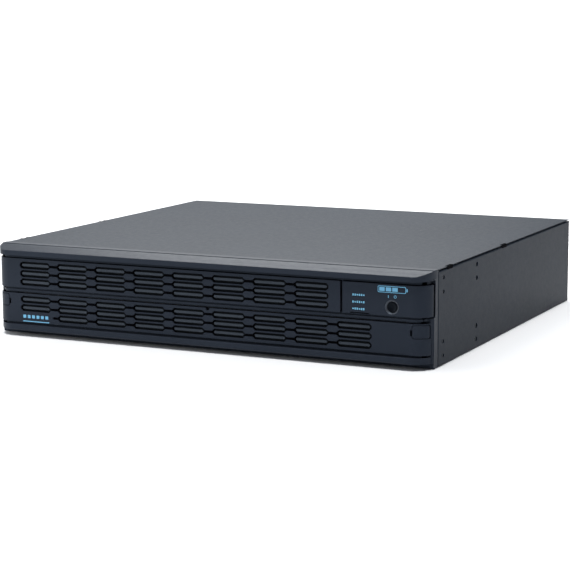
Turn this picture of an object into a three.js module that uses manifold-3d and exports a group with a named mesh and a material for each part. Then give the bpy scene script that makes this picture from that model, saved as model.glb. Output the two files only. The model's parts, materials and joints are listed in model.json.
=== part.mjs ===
// A 2U rack-mount uninterruptible power supply: sheet-metal chassis, moulded front bezel,
// a battery tray behind a pull-off cover, and a power stage over it.
// Units are millimetres: X to the right seen from the front, Y to the rear, Z up.
import * as THREE from "three";
import { mergeVertices } from "three/addons/utils/BufferGeometryUtils.js";
import Module from "manifold-3d";

// ---- driving dimensions ----
const WIDTH = 440;             // body width of a 19-inch rack unit
const HEIGHT = 86;             // two rack units less clearance
const LID_TOP = 85.6;          // the bezel stands just proud of the lid
const DEPTH = 408;             // front of the brow to the rear edge
const BEZEL_DEPTH = 27;        // the bezel stands this far off the chassis
const SHEET = 1.2;             // chassis sheet steel
const GAP = 0.3;               // clearance between touching pieces
const REAR_RECESS = 3.5;       // the rear panel sits inside the rear edges

const HALF_W = WIDTH / 2;
const FRONT_Y = -DEPTH / 2;
const SEAM_Y = FRONT_Y + BEZEL_DEPTH;
const REAR_Y = DEPTH / 2;
const PANEL_REAR_Y = REAR_Y - REAR_RECESS;
const PANEL_FRONT_Y = PANEL_REAR_Y - SHEET;

// front face, measured from the seam toward the front
const FACE_Y = SEAM_Y - 22;    // front plane of grille, control panel and battery cover
const FACE_HALF_W = 219.3;     // the moulded face stands just inside the chassis sides
const FACE_WALL = 2.5;
const FACE_RADIUS = 15;        // the panels wrap the bezel's corners
const FACE_END = 9.9;          // upper panels end this far short of the seam
const COVER_END = 12.1;        // and the battery cover this far
const CORE_Y = FACE_Y + FACE_WALL + GAP;
const LIP_Y = SEAM_Y - 25;
const LIP_RADIUS = 20;
const RIM_DEPTH = 9.3;
const RIM_HALF_W = 219.7;
const RIM_BOTTOM = 0.8;
const BROW_CORNER = [16, 25];  // half axes in plan: the brow's corners run back to the seam
const BROW_BOTTOM = 77.4;
// brow section, measured from the seam: the top falls away ever steeper to the front edge
const BROW_TOP = [[-10.5, 85.3], [-15.5, 84.6], [-20, 83.7], [-24, 82.6], [-26.4, 81.6], [-27, 81]];
const UPPER_Z = [45.8, 74.3];
const LOWER_Z = [12.8, 41.2];
const LIP_Z = [5.7, 11.4];
const RIB_Z = [42.6, 44.6];
const SPLIT_X = [138.0, 139.3]; // grille ends, control panel begins

// grille slots
const SLOT_PITCH_X = 40.7;
const SLOT_PITCH_Z = 8;
const SLOT_LENGTH = 31.6;
const SLOT_HEIGHT = 6.2;
const SLOT_FIRST_X = -175;
const SLOT_BAR = 2.8;
const SLOT_BAR_INSET = 1.4;    // bars stand back from the face
const SLOT_ROWS = 3;
const UPPER_SLOT_Z = 67.8;
const LOWER_SLOT_Z = 35.2;

// controls
const BUTTON = { x: 185.8, z: 54, radius: 4.7, travel: 1.5 };
const STATUS = { x: 154.8, z: [62.8, 56.6, 50.6], length: 12, height: 2.4 };
const LATCH = { x: [204.5, 218.0], z: [28.2, 39.5], wall: 2.2, end: 13.8 };
const FINGER_SLOT = { width: 1.5, z: [30.3, 35.3] };
const LATCH_POCKET = { x: [203.2, 218.5], end: 12.2, slack: 0.5 };
const LATCH_ARM = { x: [206, 207.6], end: 13, inset: 2.5 };
const KEY_NOTCH = { x: 7.7, drop: 0.6, radius: 1.7, depth: 1.4 };

// battery bay
const BAY_HALF_W = 198.7;
const BAY_Z = [12.4, 41.5];
const BAY_REAR_Y = 118;
const TRAY = { halfW: 197.5, front: SEAM_Y - 15, rear: 104, z: [12.9, 40.6], sheet: 1 };
const PACK = { columns: 3, rows: 2, size: [128, 138, 24], pitch: [130.5, 142] };
const BATTERY_PLUG = { x: 120, z: 27, size: [44, 7, 20] };

// rear panel layout
const FAN = { x: [165, 100], z: 43, size: 60, depth: 25, bore: 28.5, blades: 7, pitch: 0.55 };
const INLET = {
  x: -186,
  z: 26,
  pins: [
    { name: "inlet_pin_line", dx: -7, dz: -2.5 },
    { name: "inlet_pin_neutral", dx: 7, dz: -2.5 },
    { name: "inlet_pin_earth", dx: 0, dz: 2.5 },
  ],
};
const BREAKER = { x: -186, z: 62 };
const OUTLETS = { x: [-143, -105], z: [61, 25] };
const OPTION_SLOT = { x: -20, z: 60, size: [104, 34], screwX: 47.5 };
const SERIAL_PORT = { x: -45, z: 22 };
const CONTACT_PORT = { x: 5, z: 22 };
const GROUND = { x: -211, z: 9 };

// power stage
const BOARD = { x: [-204, 130], y: [-160, 106], z: [46.7, 48.3], cutX: 60, cutY: -120 };
const HEAT_SINK = { x: [-60, 60], y: [-40, 40], z: [48.6, 53], finTop: 75, fins: 9, pitch: 14, finWall: 2 };
const CAPACITOR = { x: -110, y: [20, -20], z: 48.6 };
const CAPACITOR_PROFILE = [
  [0, 0], [11, 0], [11, 21.5], [10.2, 22.2], [10.2, 23], [11, 23.8], [11, 27], [0, 27],
];
const CORE = { x: [-70, 20], y: [130, 168], z: [3, 73], windowX: [[-55, -40], [-10, 5]], windowZ: [18, 58] };
const COIL_OVERHANG = 7;

// side holes for rack ears and handles, from the seam; radius by column
const SIDE_HOLES = [{ y: 12.6, radius: 1.8 }, { y: 97.2, radius: 2.2 }];
const SIDE_HOLE_Z = [-34.3, -21.9, 21.9, 34.3].map((dz) => HEIGHT / 2 + dz);

// black clips that hold the lid down, in notches of its side edges
const LID_CLIP_Y = [SEAM_Y + 28, SEAM_Y + 173];
const LID_NOTCH = { length: 14, width: 3, bottom: 82.4 };

// ---- materials ----
const FINISH = {
  coat: { color: 0x2b2f35, roughness: 0.55, metalness: 0.1 },
  plastic: { color: 0x24272c, roughness: 0.6, metalness: 0 },
  black: { color: 0x141516, roughness: 0.5, metalness: 0 },
  zinc: { color: 0xa9adb0, roughness: 0.4, metalness: 0.8 },
  brass: { color: 0xb08d4c, roughness: 0.35, metalness: 0.9 },
  lamp: { color: 0x6fb7d6, roughness: 0.3, metalness: 0 },
  board: { color: 0x1e5a33, roughness: 0.6, metalness: 0 },
  wrap: { color: 0x3a5f86, roughness: 0.45, metalness: 0 },
  core: { color: 0x55585b, roughness: 0.6, metalness: 0.6 },
  coil: { color: 0xa8602a, roughness: 0.5, metalness: 0.2 },
};

const group = new THREE.Group();

// ---- solids ----
const wasm = await Module();
wasm.setup();

// closed manifold solid of a three.js geometry
function solid(geometry) {
  const bare = geometry.index ? geometry.toNonIndexed() : geometry.clone();
  bare.deleteAttribute("normal");
  bare.deleteAttribute("uv");
  const merged = mergeVertices(bare, 1e-4);
  const mesh = new wasm.Mesh({
    numProp: 3,
    vertProperties: new Float32Array(merged.attributes.position.array),
    triVerts: new Uint32Array(merged.index.array),
  });
  return new wasm.Manifold(mesh);
}

// box from its lower and upper limits on each axis
function box([x0, x1], [y0, y1], [z0, z1]) {
  const geometry = new THREE.BoxGeometry(x1 - x0, y1 - y0, z1 - z0);
  return solid(geometry.translate((x0 + x1) / 2, (y0 + y1) / 2, (z0 + z1) / 2));
}

// cylinder along Y between two depths
function rodY(x, z, radius, [y0, y1], sides = 20, frontRadius = radius) {
  const geometry = new THREE.CylinderGeometry(radius, frontRadius, y1 - y0, sides);
  return solid(geometry.translate(x, (y0 + y1) / 2, z));
}

// cylinder along X between two limits
function rodX(y, z, radius, [x0, x1], sides = 10) {
  const geometry = new THREE.CylinderGeometry(radius, radius, x1 - x0, sides);
  return solid(geometry.rotateZ(Math.PI / 2).translate((x0 + x1) / 2, y, z));
}

// cylinder along Z between two heights
function rodZ(x, y, radius, [z0, z1], sides = 20) {
  const geometry = new THREE.CylinderGeometry(radius, radius, z1 - z0, sides);
  return solid(geometry.rotateX(Math.PI / 2).translate(x, y, (z0 + z1) / 2));
}

function shapeOf(points) {
  return new THREE.Shape(points.map(([a, b]) => new THREE.Vector2(a, b)));
}

function extrude(shape, depth, curveSegments = 6) {
  return new THREE.ExtrudeGeometry(shape, { depth, bevelEnabled: false, curveSegments });
}

// outline in plan (X, Y) raised from z0 to z1
function prismZ(shape, [z0, z1], curveSegments) {
  return solid(extrude(shape, z1 - z0, curveSegments).translate(0, 0, z0));
}

// outline in elevation (X, Z) pushed from y0 back to y1
function prismY(shape, [y0, y1], curveSegments) {
  return solid(extrude(shape, y1 - y0, curveSegments).rotateX(Math.PI / 2).translate(0, y1, 0));
}

// outline in section (Y, Z) pushed from x0 to x1
function prismX(points, [x0, x1]) {
  const geometry = extrude(shapeOf(points), x1 - x0);
  geometry.applyMatrix4(new THREE.Matrix4().set(0, 0, 1, x0, 1, 0, 0, 0, 0, 1, 0, 0, 0, 0, 0, 1));
  return solid(geometry);
}

const union = (...parts) => wasm.Manifold.union(parts.flat());
const mirrored = (part) => part.mirror([1, 0, 0]);
const bothSides = (part) => union(part, mirrored(part));

// a nested group that holds one sub-assembly
function subAssembly(name) {
  const holder = new THREE.Group();
  holder.name = name;
  group.add(holder);
  return holder;
}

// name a solid, give it its finish and add it to its sub-assembly
function add(holder, name, part, finish) {
  const { vertProperties, triVerts } = part.getMesh();
  const geometry = new THREE.BufferGeometry();
  geometry.setAttribute("position", new THREE.BufferAttribute(new Float32Array(vertProperties), 3));
  geometry.setIndex(new THREE.BufferAttribute(new Uint32Array(triVerts), 1));
  geometry.computeVertexNormals();
  const mesh = new THREE.Mesh(geometry, new THREE.MeshStandardMaterial(finish));
  mesh.name = name;
  holder.add(mesh);
}

// plan outline with both front corners rounded, elliptical where the half axes differ
function planOutline(halfW, frontY, rearY, rx, ry = rx) {
  const shape = new THREE.Shape();
  shape.moveTo(-halfW, rearY);
  shape.lineTo(halfW, rearY);
  shape.lineTo(halfW, frontY + ry);
  shape.absellipse(halfW - rx, frontY + ry, rx, ry, 0, -Math.PI / 2, true, 0);
  shape.lineTo(-halfW + rx, frontY);
  shape.absellipse(-halfW + rx, frontY + ry, rx, ry, -Math.PI / 2, -Math.PI, true, 0);
  shape.lineTo(-halfW, rearY);
  return shape;
}

// round-cornered rectangle in elevation
function pill(x, z, length, height, radius = height / 2) {
  const shape = new THREE.Shape();
  const [hx, hz] = [length / 2 - radius, height / 2 - radius];
  shape.absarc(x + hx, z + hz, radius, 0, Math.PI / 2, false);
  shape.absarc(x - hx, z + hz, radius, Math.PI / 2, Math.PI, false);
  shape.absarc(x - hx, z - hz, radius, Math.PI, Math.PI * 1.5, false);
  shape.absarc(x + hx, z - hz, radius, Math.PI * 1.5, Math.PI * 2, false);
  shape.closePath();
  return shape;
}

// ---- chassis ----
function lidNotches() {
  const { length, width, bottom } = LID_NOTCH;
  return LID_CLIP_Y.map((y) =>
    box([HALF_W - width, HALF_W + 1], [y - length / 2, y + length / 2], [bottom, HEIGHT]));
}

function chassisTray() {
  const length = [SEAM_Y + GAP, REAR_Y];
  const sideTop = LID_TOP - SHEET - GAP;
  const floor = box([-HALF_W, HALF_W], length, [0, SHEET]);
  const side = box([HALF_W - SHEET, HALF_W], length, [0, sideTop]);
  const flange = box([HALF_W - 9, HALF_W], length, [sideTop - SHEET, sideTop]);
  const holes = SIDE_HOLES.flatMap(({ y, radius }) =>
    SIDE_HOLE_Z.map((z) => rodX(SEAM_Y + y, z, radius, [HALF_W - 4, HALF_W + 4])));
  return union(floor, bothSides(union(side, flange))).subtract(bothSides(union(holes, lidNotches())));
}

function topCover() {
  const [z0, z1] = [LID_TOP - SHEET, LID_TOP];
  const plate = box([-HALF_W, HALF_W], [SEAM_Y + GAP, REAR_Y], [z0, z1]);
  const innerX = HALF_W - 9 - GAP;
  const sideFlange = box([innerX - SHEET, innerX], [SEAM_Y + 8, PANEL_FRONT_Y - 4], [76, z0 + 0.5]);
  const rearFlange = box([-210, 210], [PANEL_REAR_Y + GAP, PANEL_REAR_Y + GAP + SHEET], [77, z0 + 0.5]);
  return union(plate, bothSides(sideFlange), rearFlange).subtract(bothSides(union(lidNotches())));
}

// right-hand lid clip: a block that fills its notch, with a screwdriver slit along the top
function lidClip(y) {
  const { length, width, bottom } = LID_NOTCH;
  const [x0, x1] = [HALF_W - width + GAP, HALF_W - GAP];
  const half = length / 2 - GAP;
  const block = box([x0, x1], [y - half, y + half], [bottom + GAP, HEIGHT - 0.1]);
  const slit = box([x0 + 0.8, x1 - 0.8], [y - half + 3, y + half - 3], [LID_TOP - 1, HEIGHT]);
  return block.subtract(slit);
}

function frontBulkhead() {
  const plate = box([-218, 218], [SEAM_Y + 0.6, SEAM_Y + 0.6 + SHEET], [1.6, 82.9]);
  const through = [SEAM_Y - 1, SEAM_Y + 4];
  const bay = box([-BAY_HALF_W, BAY_HALF_W], through, BAY_Z);
  const airWindows = [-160, -80, 0, 80].map((x) => box([x - 34, x + 34], through, [50, 74]));
  const wiring = box([150, 200], through, [50, 72]);
  return plate.subtract(union(bay, airWindows, wiring));
}

function bayFloor() {
  const top = BAY_Z[0] - 0.1;
  const depth = [SEAM_Y + 2.4, BAY_REAR_Y];
  const deck = box([-206, 206], depth, [top - SHEET, top]);
  const leg = box([206 - SHEET, 206], depth, [SHEET + GAP, top]);
  const middle = box([-0.6, 0.6], depth, [SHEET + GAP, top]);
  return union(deck, bothSides(leg), middle);
}

function bayDivider() {
  const underside = BAY_Z[1] + GAP;
  const depth = [SEAM_Y + 2.4, BAY_REAR_Y];
  const deck = box([-210, 210], depth, [underside, underside + SHEET]);
  const leg = box([210 - SHEET, 210], depth, [SHEET + GAP, underside + SHEET]);
  const rearWall = box([-210, 210], [BAY_REAR_Y - SHEET, BAY_REAR_Y], [BAY_Z[0] + GAP, underside + 1]);
  const pillars = [-190, 0, 190].flatMap((x) =>
    [-150, 90].map((y) => rodZ(x, y, 4, [underside + 0.5, 46.4], 12)));
  const { x, z } = BATTERY_PLUG;
  const window = box([x - 18, x + 18], [BAY_REAR_Y - 4, BAY_REAR_Y + 2], [z - 8, z + 8]);
  return union(deck, bothSides(leg), rearWall, pillars).subtract(window);
}

// ---- bezel ----
function bezelSolid() {
  const rimFront = SEAM_Y - RIM_DEPTH;
  const root = SEAM_Y - 2; // brow, lip and core run this far into the rim
  const rim = box([-RIM_HALF_W, RIM_HALF_W], [rimFront, SEAM_Y], [RIM_BOTTOM, BROW_BOTTOM + 1]);
  const top = BROW_TOP.map(([y, z]) => [SEAM_Y + y, z]);
  const browSection = [
    [FRONT_Y, BROW_BOTTOM], [SEAM_Y, BROW_BOTTOM], [SEAM_Y, HEIGHT], [rimFront, HEIGHT],
    [rimFront, BROW_TOP[0][1]], ...top,
  ];
  const brow = prismX(browSection, [-HALF_W, HALF_W])
    .intersect(prismZ(planOutline(RIM_HALF_W, FRONT_Y, SEAM_Y, ...BROW_CORNER), [0, HEIGHT]));
  const lipSection = [
    [LIP_Y, LIP_Z[0] + 1], [LIP_Y + 1, LIP_Z[0]], [root, LIP_Z[0]],
    [root, LIP_Z[1]], [LIP_Y + 0.5, LIP_Z[1]], [LIP_Y, LIP_Z[1] - 0.5],
  ];
  const lip = prismX(lipSection, [-HALF_W, HALF_W])
    .intersect(prismZ(planOutline(FACE_HALF_W, LIP_Y, SEAM_Y, LIP_RADIUS), [0, HEIGHT]));
  const inset = FACE_WALL + GAP;
  const core = prismZ(planOutline(FACE_HALF_W - inset, CORE_Y, root, FACE_RADIUS - inset),
    [LIP_Z[0], BROW_BOTTOM + 1]);
  const ribInset = 1.2;
  const rib = prismZ(
    planOutline(FACE_HALF_W - ribInset, FACE_Y + ribInset, root, FACE_RADIUS - ribInset), RIB_Z);
  const lowerReturn = box([FACE_HALF_W - inset - 1, FACE_HALF_W], [SEAM_Y - COVER_END + 0.4, root],
    [LIP_Z[0], RIB_Z[1]]);
  return union(rim, brow, lip, core, rib, bothSides(lowerReturn));
}

function frontBezel() {
  const wall = CORE_Y + 2.4;
  const through = [FRONT_Y, SEAM_Y + 1];
  const hollow = box([-214.5, 214.5], [wall, SEAM_Y + 1], [8.2, 81]);
  const rimHollow = box([-216.5, 216.5], [SEAM_Y - 6, SEAM_Y + 1], [3, 83]);
  const bay = box([-BAY_HALF_W, BAY_HALF_W], through, BAY_Z);
  const airWindows = [-160, -80, 0, 80].map((x) => box([x - 36, x + 36], through, [49, 73]));
  const controls = box([145, 203], through, [46.9, 73]);
  const { x, end, slack } = LATCH_POCKET;
  const latchPocket = box(x, [FACE_Y, SEAM_Y - end], [LATCH.z[0] - slack, LATCH.z[1] + slack]);
  return bezelSolid().subtract(union(hollow, rimHollow, bay, airWindows, controls, bothSides(latchPocket)));
}

// panel skin between two heights that wraps both front corners and ends short of the seam
function faceSkin(zRange, wall, shortOfSeam) {
  const outer = planOutline(FACE_HALF_W, FACE_Y, SEAM_Y, FACE_RADIUS);
  const inner = planOutline(FACE_HALF_W - wall, FACE_Y + wall, SEAM_Y + 1, FACE_RADIUS - wall);
  const trim = box([-HALF_W, HALF_W], [FACE_Y - 1, SEAM_Y - shortOfSeam], zRange);
  return prismZ(outer, zRange).subtract(prismZ(inner, [0, HEIGHT])).intersect(trim);
}

// slot outline with chamfered ends
function slotShape(x, z, length, height) {
  const [hx, hz, cut] = [length / 2, height / 2, height * 0.36];
  return shapeOf([
    [x - hx, z - hz + cut], [x - hx + cut, z - hz], [x + hx - cut, z - hz], [x + hx, z - hz + cut],
    [x + hx, z + hz - cut], [x + hx - cut, z + hz], [x - hx + cut, z + hz], [x - hx, z + hz - cut],
  ]);
}

// through slots in columns and rows
function slotField(columns, topZ, skip = () => false) {
  const cutters = [];
  for (let column = 0; column < columns; column += 1) {
    for (let row = 0; row < SLOT_ROWS; row += 1) {
      const x = SLOT_FIRST_X + column * SLOT_PITCH_X;
      const shape = slotShape(x, topZ - row * SLOT_PITCH_Z, SLOT_LENGTH, SLOT_HEIGHT);
      if (!skip(column, row)) cutters.push(prismY(shape, [FACE_Y - 1, FACE_Y + FACE_WALL + 1]));
    }
  }
  return union(cutters);
}

// one bar along the back of each row crosses the middle of its slots
function slotBars(columns, topZ, firstColumn = () => 0) {
  const bars = [];
  for (let row = 0; row < SLOT_ROWS; row += 1) {
    const z = topZ - row * SLOT_PITCH_Z;
    const start = SLOT_FIRST_X + firstColumn(row) * SLOT_PITCH_X - SLOT_LENGTH / 2 - 1;
    const end = SLOT_FIRST_X + (columns - 1) * SLOT_PITCH_X + SLOT_LENGTH / 2 + 1;
    bars.push(box([start, end], [FACE_Y + SLOT_BAR_INSET, FACE_Y + FACE_WALL],
      [z - SLOT_BAR / 2, z + SLOT_BAR / 2]));
  }
  return union(bars);
}

function upperGrille() {
  const skin = faceSkin(UPPER_Z, FACE_WALL, FACE_END);
  const side = box([-HALF_W - 1, SPLIT_X[0]], [FACE_Y - 1, SEAM_Y], [0, HEIGHT]);
  return skin.intersect(side).subtract(slotField(8, UPPER_SLOT_Z)).add(slotBars(8, UPPER_SLOT_Z));
}

function controlPanel() {
  const skin = faceSkin(UPPER_Z, FACE_WALL, FACE_END);
  const side = box([SPLIT_X[1], HALF_W + 1], [FACE_Y - 1, SEAM_Y], [0, HEIGHT]);
  const through = [FACE_Y - 1, FACE_Y + 6];
  const bore = rodY(BUTTON.x, BUTTON.z, BUTTON.radius + 0.4, through, 24);
  const leadIn = rodY(BUTTON.x, BUTTON.z, BUTTON.radius + 0.4, [FACE_Y - 0.01, FACE_Y + 1.4], 24,
    BUTTON.radius + 1.8);
  const lamps = STATUS.z.map((z) =>
    prismY(pill(STATUS.x, z, STATUS.length, STATUS.height), through, 3));
  return skin.intersect(side).subtract(union(bore, leadIn, lamps));
}

function latchOpening() {
  const opening = box([LATCH.x[0] - GAP, LATCH.x[1] + 0.4], [FACE_Y - 1, SEAM_Y - 4],
    [LATCH.z[0] - GAP, LATCH.z[1] + GAP]);
  const slot = box([LATCH.x[0] - FINGER_SLOT.width, LATCH.x[0]], [FACE_Y - 1, CORE_Y], FINGER_SLOT.z);
  return bothSides(union(opening, slot));
}

function batteryCover() {
  const skin = faceSkin(LOWER_Z, FACE_WALL, COVER_END);
  const tabs = [-150, 150].map((x) =>
    box([x - 9, x + 9], [FACE_Y + 1, TRAY.front - 0.6], [LOWER_Z[0], LOWER_Z[0] + 1.8]));
  const badgeCorner = (column, row) => column === 0 && row === SLOT_ROWS - 1;
  const slots = slotField(9, LOWER_SLOT_Z, badgeCorner);
  const bars = slotBars(9, LOWER_SLOT_Z, (row) => (row === SLOT_ROWS - 1 ? 1 : 0));
  const keyNotch = rodY(KEY_NOTCH.x, LOWER_Z[1] - KEY_NOTCH.drop, KEY_NOTCH.radius,
    [FACE_Y - 1, FACE_Y + KEY_NOTCH.depth], 14);
  return union(skin.subtract(union(slots, latchOpening(), keyNotch)), bars, tabs);
}

// right-hand finger latch: a wrapped tab on an arm that reaches into the bezel's pocket
function coverLatch() {
  const skin = faceSkin(LATCH.z, LATCH.wall, LATCH.end);
  const tab = skin.intersect(box(LATCH.x, [FACE_Y - 1, SEAM_Y], LATCH.z));
  const { x, end, inset } = LATCH_ARM;
  const arm = box(x, [FACE_Y + 1, SEAM_Y - end], [LATCH.z[0] + inset, LATCH.z[1] - inset]);
  return union(tab, arm);
}

// ---- controls ----
function powerButton() {
  const { x, z, radius } = BUTTON;
  const cap = rodY(x, z, radius, [FACE_Y + 0.7, FACE_Y + 3.2], 24);
  const flange = rodY(x, z, radius + 1.6, [FACE_Y + FACE_WALL + GAP, FACE_Y + FACE_WALL + 1.5], 24);
  const stem = rodY(x, z, 2.2, [FACE_Y + 3, FACE_Y + 6.5], 16);
  const dish = rodY(x, z, 2.2, [FACE_Y, FACE_Y + 1.1], 20, 3);
  return union(cap, flange, stem).subtract(dish);
}

function statusWindow(z) {
  const { x, length, height } = STATUS;
  const head = prismY(pill(x, z, length - 0.5, height - 0.5), [FACE_Y - 0.05, FACE_Y + 3.2], 3);
  const flange = box([x - 6.8, x + 6.8], [FACE_Y + FACE_WALL + 0.1, FACE_Y + 4], [z - 1.9, z + 1.9]);
  const stem = box([x - 2, x + 2], [FACE_Y + 3.5, SEAM_Y - 13], [z - 1, z + 1]);
  return union(head, flange, stem);
}

function displayBoard() {
  return box([147, 201], [SEAM_Y - 10.6, SEAM_Y - 9], [48.6, 72.4])
    .subtract(union([151, 197].map((x) => rodY(x, 70, 1.6, [SEAM_Y - 12, SEAM_Y - 7], 12))));
}

function panelSwitch() {
  const { x, z, travel } = BUTTON;
  const body = box([x - 3, x + 3], [SEAM_Y - 13, SEAM_Y - 10.9], [z - 3, z + 3]);
  const actuator = rodY(x, z, 1.7, [FACE_Y + 6.5 + travel + GAP, SEAM_Y - 12.8], 14);
  return union(body, actuator);
}

// ---- battery tray ----
function batteryTray() {
  const { halfW, front, rear, z, sheet } = TRAY;
  const body = box([-halfW, halfW], [front, rear], z);
  const inside = box([-halfW + sheet, halfW - sheet], [front + sheet, rear - sheet],
    [z[0] + sheet, z[1] + 1]);
  const { x: plugX, z: plugZ } = BATTERY_PLUG;
  const plugHole = box([plugX - 16, plugX + 16], [rear - 4, rear + 2], [plugZ - 7, plugZ + 7]);
  const grips = [-90, 90].map((x) => prismY(pill(x, 28, 70, 14), [front - 2, front + 3], 4));
  return body.subtract(union(inside, plugHole, grips));
}

function batteryPack(column, row) {
  const [sx, sy, sz] = PACK.size;
  const cx = (column - 1) * PACK.pitch[0];
  const cy = (TRAY.front + TRAY.rear) / 2 + (row - 0.5) * PACK.pitch[1];
  const z0 = TRAY.z[0] + TRAY.sheet + GAP;
  const cells = 5;
  const lobes = [];
  for (let i = 0; i < cells; i += 1) {
    const x = cx - sx / 2 + (sx / cells) * (i + 0.5);
    const lobe = new THREE.CylinderGeometry(sz / 2, sz / 2, sy, 12).translate(x, cy, z0 + sz / 2);
    lobes.push(solid(lobe));
  }
  const web = box([cx - sx / 2 + 8, cx + sx / 2 - 8], [cy - sy / 2, cy + sy / 2], [z0 + 3, z0 + sz - 3]);
  return union(lobes, web);
}

function batteryPlug() {
  const { x, z, size: [sx, sy, sz] } = BATTERY_PLUG;
  const flange = box([x - sx / 2, x + sx / 2], [TRAY.rear + GAP, TRAY.rear + 2], [z - sz / 2, z + sz / 2]);
  const nose = box([x - 14, x + 14], [TRAY.rear - 4, TRAY.rear + sy], [z - 5, z + 5]);
  const holes = [-8, 8].map((dx) => rodY(x + dx, z, 3, [TRAY.rear + 1, TRAY.rear + sy + 1], 14));
  return union(flange, nose).subtract(union(holes));
}

function batterySocket() {
  const { x, z } = BATTERY_PLUG;
  const front = TRAY.rear + BATTERY_PLUG.size[1] + 0.6;
  const wall = BAY_REAR_Y - SHEET;
  const flange = box([x - 26, x + 26], [wall - 2.4, wall - GAP], [z - 11, z + 11]);
  const body = box([x - 17, x + 17], [front, BAY_REAR_Y + 6], [z - 7, z + 7]);
  const pins = [-8, 8].map((dx) => rodY(x + dx, z, 2.2, [TRAY.rear + 3, front + 2], 12));
  return union(flange, body, pins);
}

// ---- rear panel ----
function rearPanel() {
  const plate = box([-218.4, 218.4], [PANEL_FRONT_Y, PANEL_REAR_Y], [1.6, 82.9]);
  const through = [PANEL_FRONT_Y - 2, PANEL_REAR_Y + 2];
  const rectHole = (x, z, w, h) => box([x - w / 2, x + w / 2], through, [z - h / 2, z + h / 2]);
  const cuts = [
    ...FAN.x.map((x) => rodY(x, FAN.z, FAN.bore, through, 26)),
    rectHole(INLET.x, INLET.z, 27.4, 21.4),
    rodY(BREAKER.x, BREAKER.z, 6.2, through, 20),
    ...OUTLETS.x.flatMap((x) => OUTLETS.z.map((z) => rectHole(x, z, 27.4, 23.4))),
    rectHole(OPTION_SLOT.x, OPTION_SLOT.z, OPTION_SLOT.size[0] - 16, OPTION_SLOT.size[1] - 8),
    rectHole(SERIAL_PORT.x, SERIAL_PORT.z, 20, 11),
    rectHole(CONTACT_PORT.x, CONTACT_PORT.z, 13, 12),
    rodY(GROUND.x, GROUND.z, 1.9, through, 12),
  ];
  return plate.subtract(union(cuts));
}

function fanFrame(x) {
  const half = FAN.size / 2;
  const depth = [PANEL_FRONT_Y - GAP - FAN.depth, PANEL_FRONT_Y - GAP];
  const body = box([x - half, x + half], depth, [FAN.z - half, FAN.z + half]);
  const bore = rodY(x, FAN.z, FAN.bore, [depth[0] - 1, depth[1] + 1], 26);
  const struts = [0, 1, 2].map((i) => {
    const arm = new THREE.BoxGeometry(FAN.bore + 0.5, 2, 3).translate(FAN.bore / 2, 0, 0);
    arm.rotateY((i * 2 * Math.PI) / 3).translate(x, depth[1] - 1, FAN.z);
    return solid(arm);
  });
  const hub = rodY(x, FAN.z, 13, [depth[1] - 3, depth[1]], 24);
  const spindle = rodY(x, FAN.z, 2, [depth[1] - 14, depth[1] - 2], 16);
  const screwHoles = [-25, 25].flatMap((dx) =>
    [-25, 25].map((dz) => rodY(x + dx, FAN.z + dz, 2.1, [depth[0] - 1, depth[1] + 1], 8)));
  return union(body.subtract(union(bore, screwHoles)), struts, hub, spindle);
}

function fanRotor(x) {
  const rear = PANEL_FRONT_Y - GAP - 3.6;
  const hub = rodY(x, FAN.z, 14, [rear - 16, rear], 20);
  const blades = [];
  for (let i = 0; i < FAN.blades; i += 1) {
    const blade = new THREE.BoxGeometry(15, 15, 1.4).rotateX(FAN.pitch).translate(20, 0, 0);
    blades.push(solid(blade.rotateY((i * 2 * Math.PI) / FAN.blades).translate(x, rear - 9, FAN.z)));
  }
  const bore = rodY(x, FAN.z, 2.4, [rear - 12, rear + 1], 16);
  return union(hub, blades).subtract(bore);
}

// wire finger guard: three rings on a cross of wires with four eyelets
function fanGuard(x) {
  const depth = [PANEL_REAR_Y + 0.6, PANEL_REAR_Y + 2.2];
  const ring = (radius) => rodY(x, FAN.z, radius, depth, 14)
    .subtract(rodY(x, FAN.z, radius - 1.5, [depth[0] - 1, depth[1] + 1], 14));
  const spoke = (angle) => solid(new THREE.BoxGeometry(35.4 * 2, 1.6, 1.5).rotateY(angle)
    .translate(x, (depth[0] + depth[1]) / 2, FAN.z));
  const eyes = [-25, 25].flatMap((dx) => [-25, 25].map((dz) => rodY(x + dx, FAN.z + dz, 3.4, depth, 8)));
  return union(ring(10), ring(18), ring(26), spoke(Math.PI / 4), spoke(-Math.PI / 4), eyes);
}

function acInlet() {
  const { x, z } = INLET;
  const flange = box([x - 16, x + 16], [PANEL_REAR_Y + GAP, PANEL_REAR_Y + 2.8], [z - 13, z + 13]);
  const body = box([x - 13.5, x + 13.5], [PANEL_FRONT_Y - 17, PANEL_REAR_Y + 1], [z - 10.5, z + 10.5]);
  const mouth = shapeOf([[x - 12, z - 8.5], [x + 12, z - 8.5], [x + 12, z + 4.5], [x + 8, z + 8.5],
    [x - 8, z + 8.5], [x - 12, z + 4.5]]);
  const cavity = prismY(mouth, [PANEL_FRONT_Y - 14.5, REAR_Y + 1]);
  const pinSeats = INLET.pins.map(({ dx, dz }) => pinBox(x + dx, z + dz, GAP, [-15.8, -14]));
  return union(flange, body).subtract(union(cavity, pinSeats));
}

// flat contact pin, measured back from the inside of the rear panel
function pinBox(x, z, slack, [y0, y1]) {
  return box([x - 1 - slack, x + 1 + slack], [PANEL_FRONT_Y + y0, PANEL_FRONT_Y + y1],
    [z - 2 - slack, z + 2 + slack]);
}

function inletPin({ dx, dz }) {
  return pinBox(INLET.x + dx, INLET.z + dz, 0, [-15.5, 0]);
}

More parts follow.
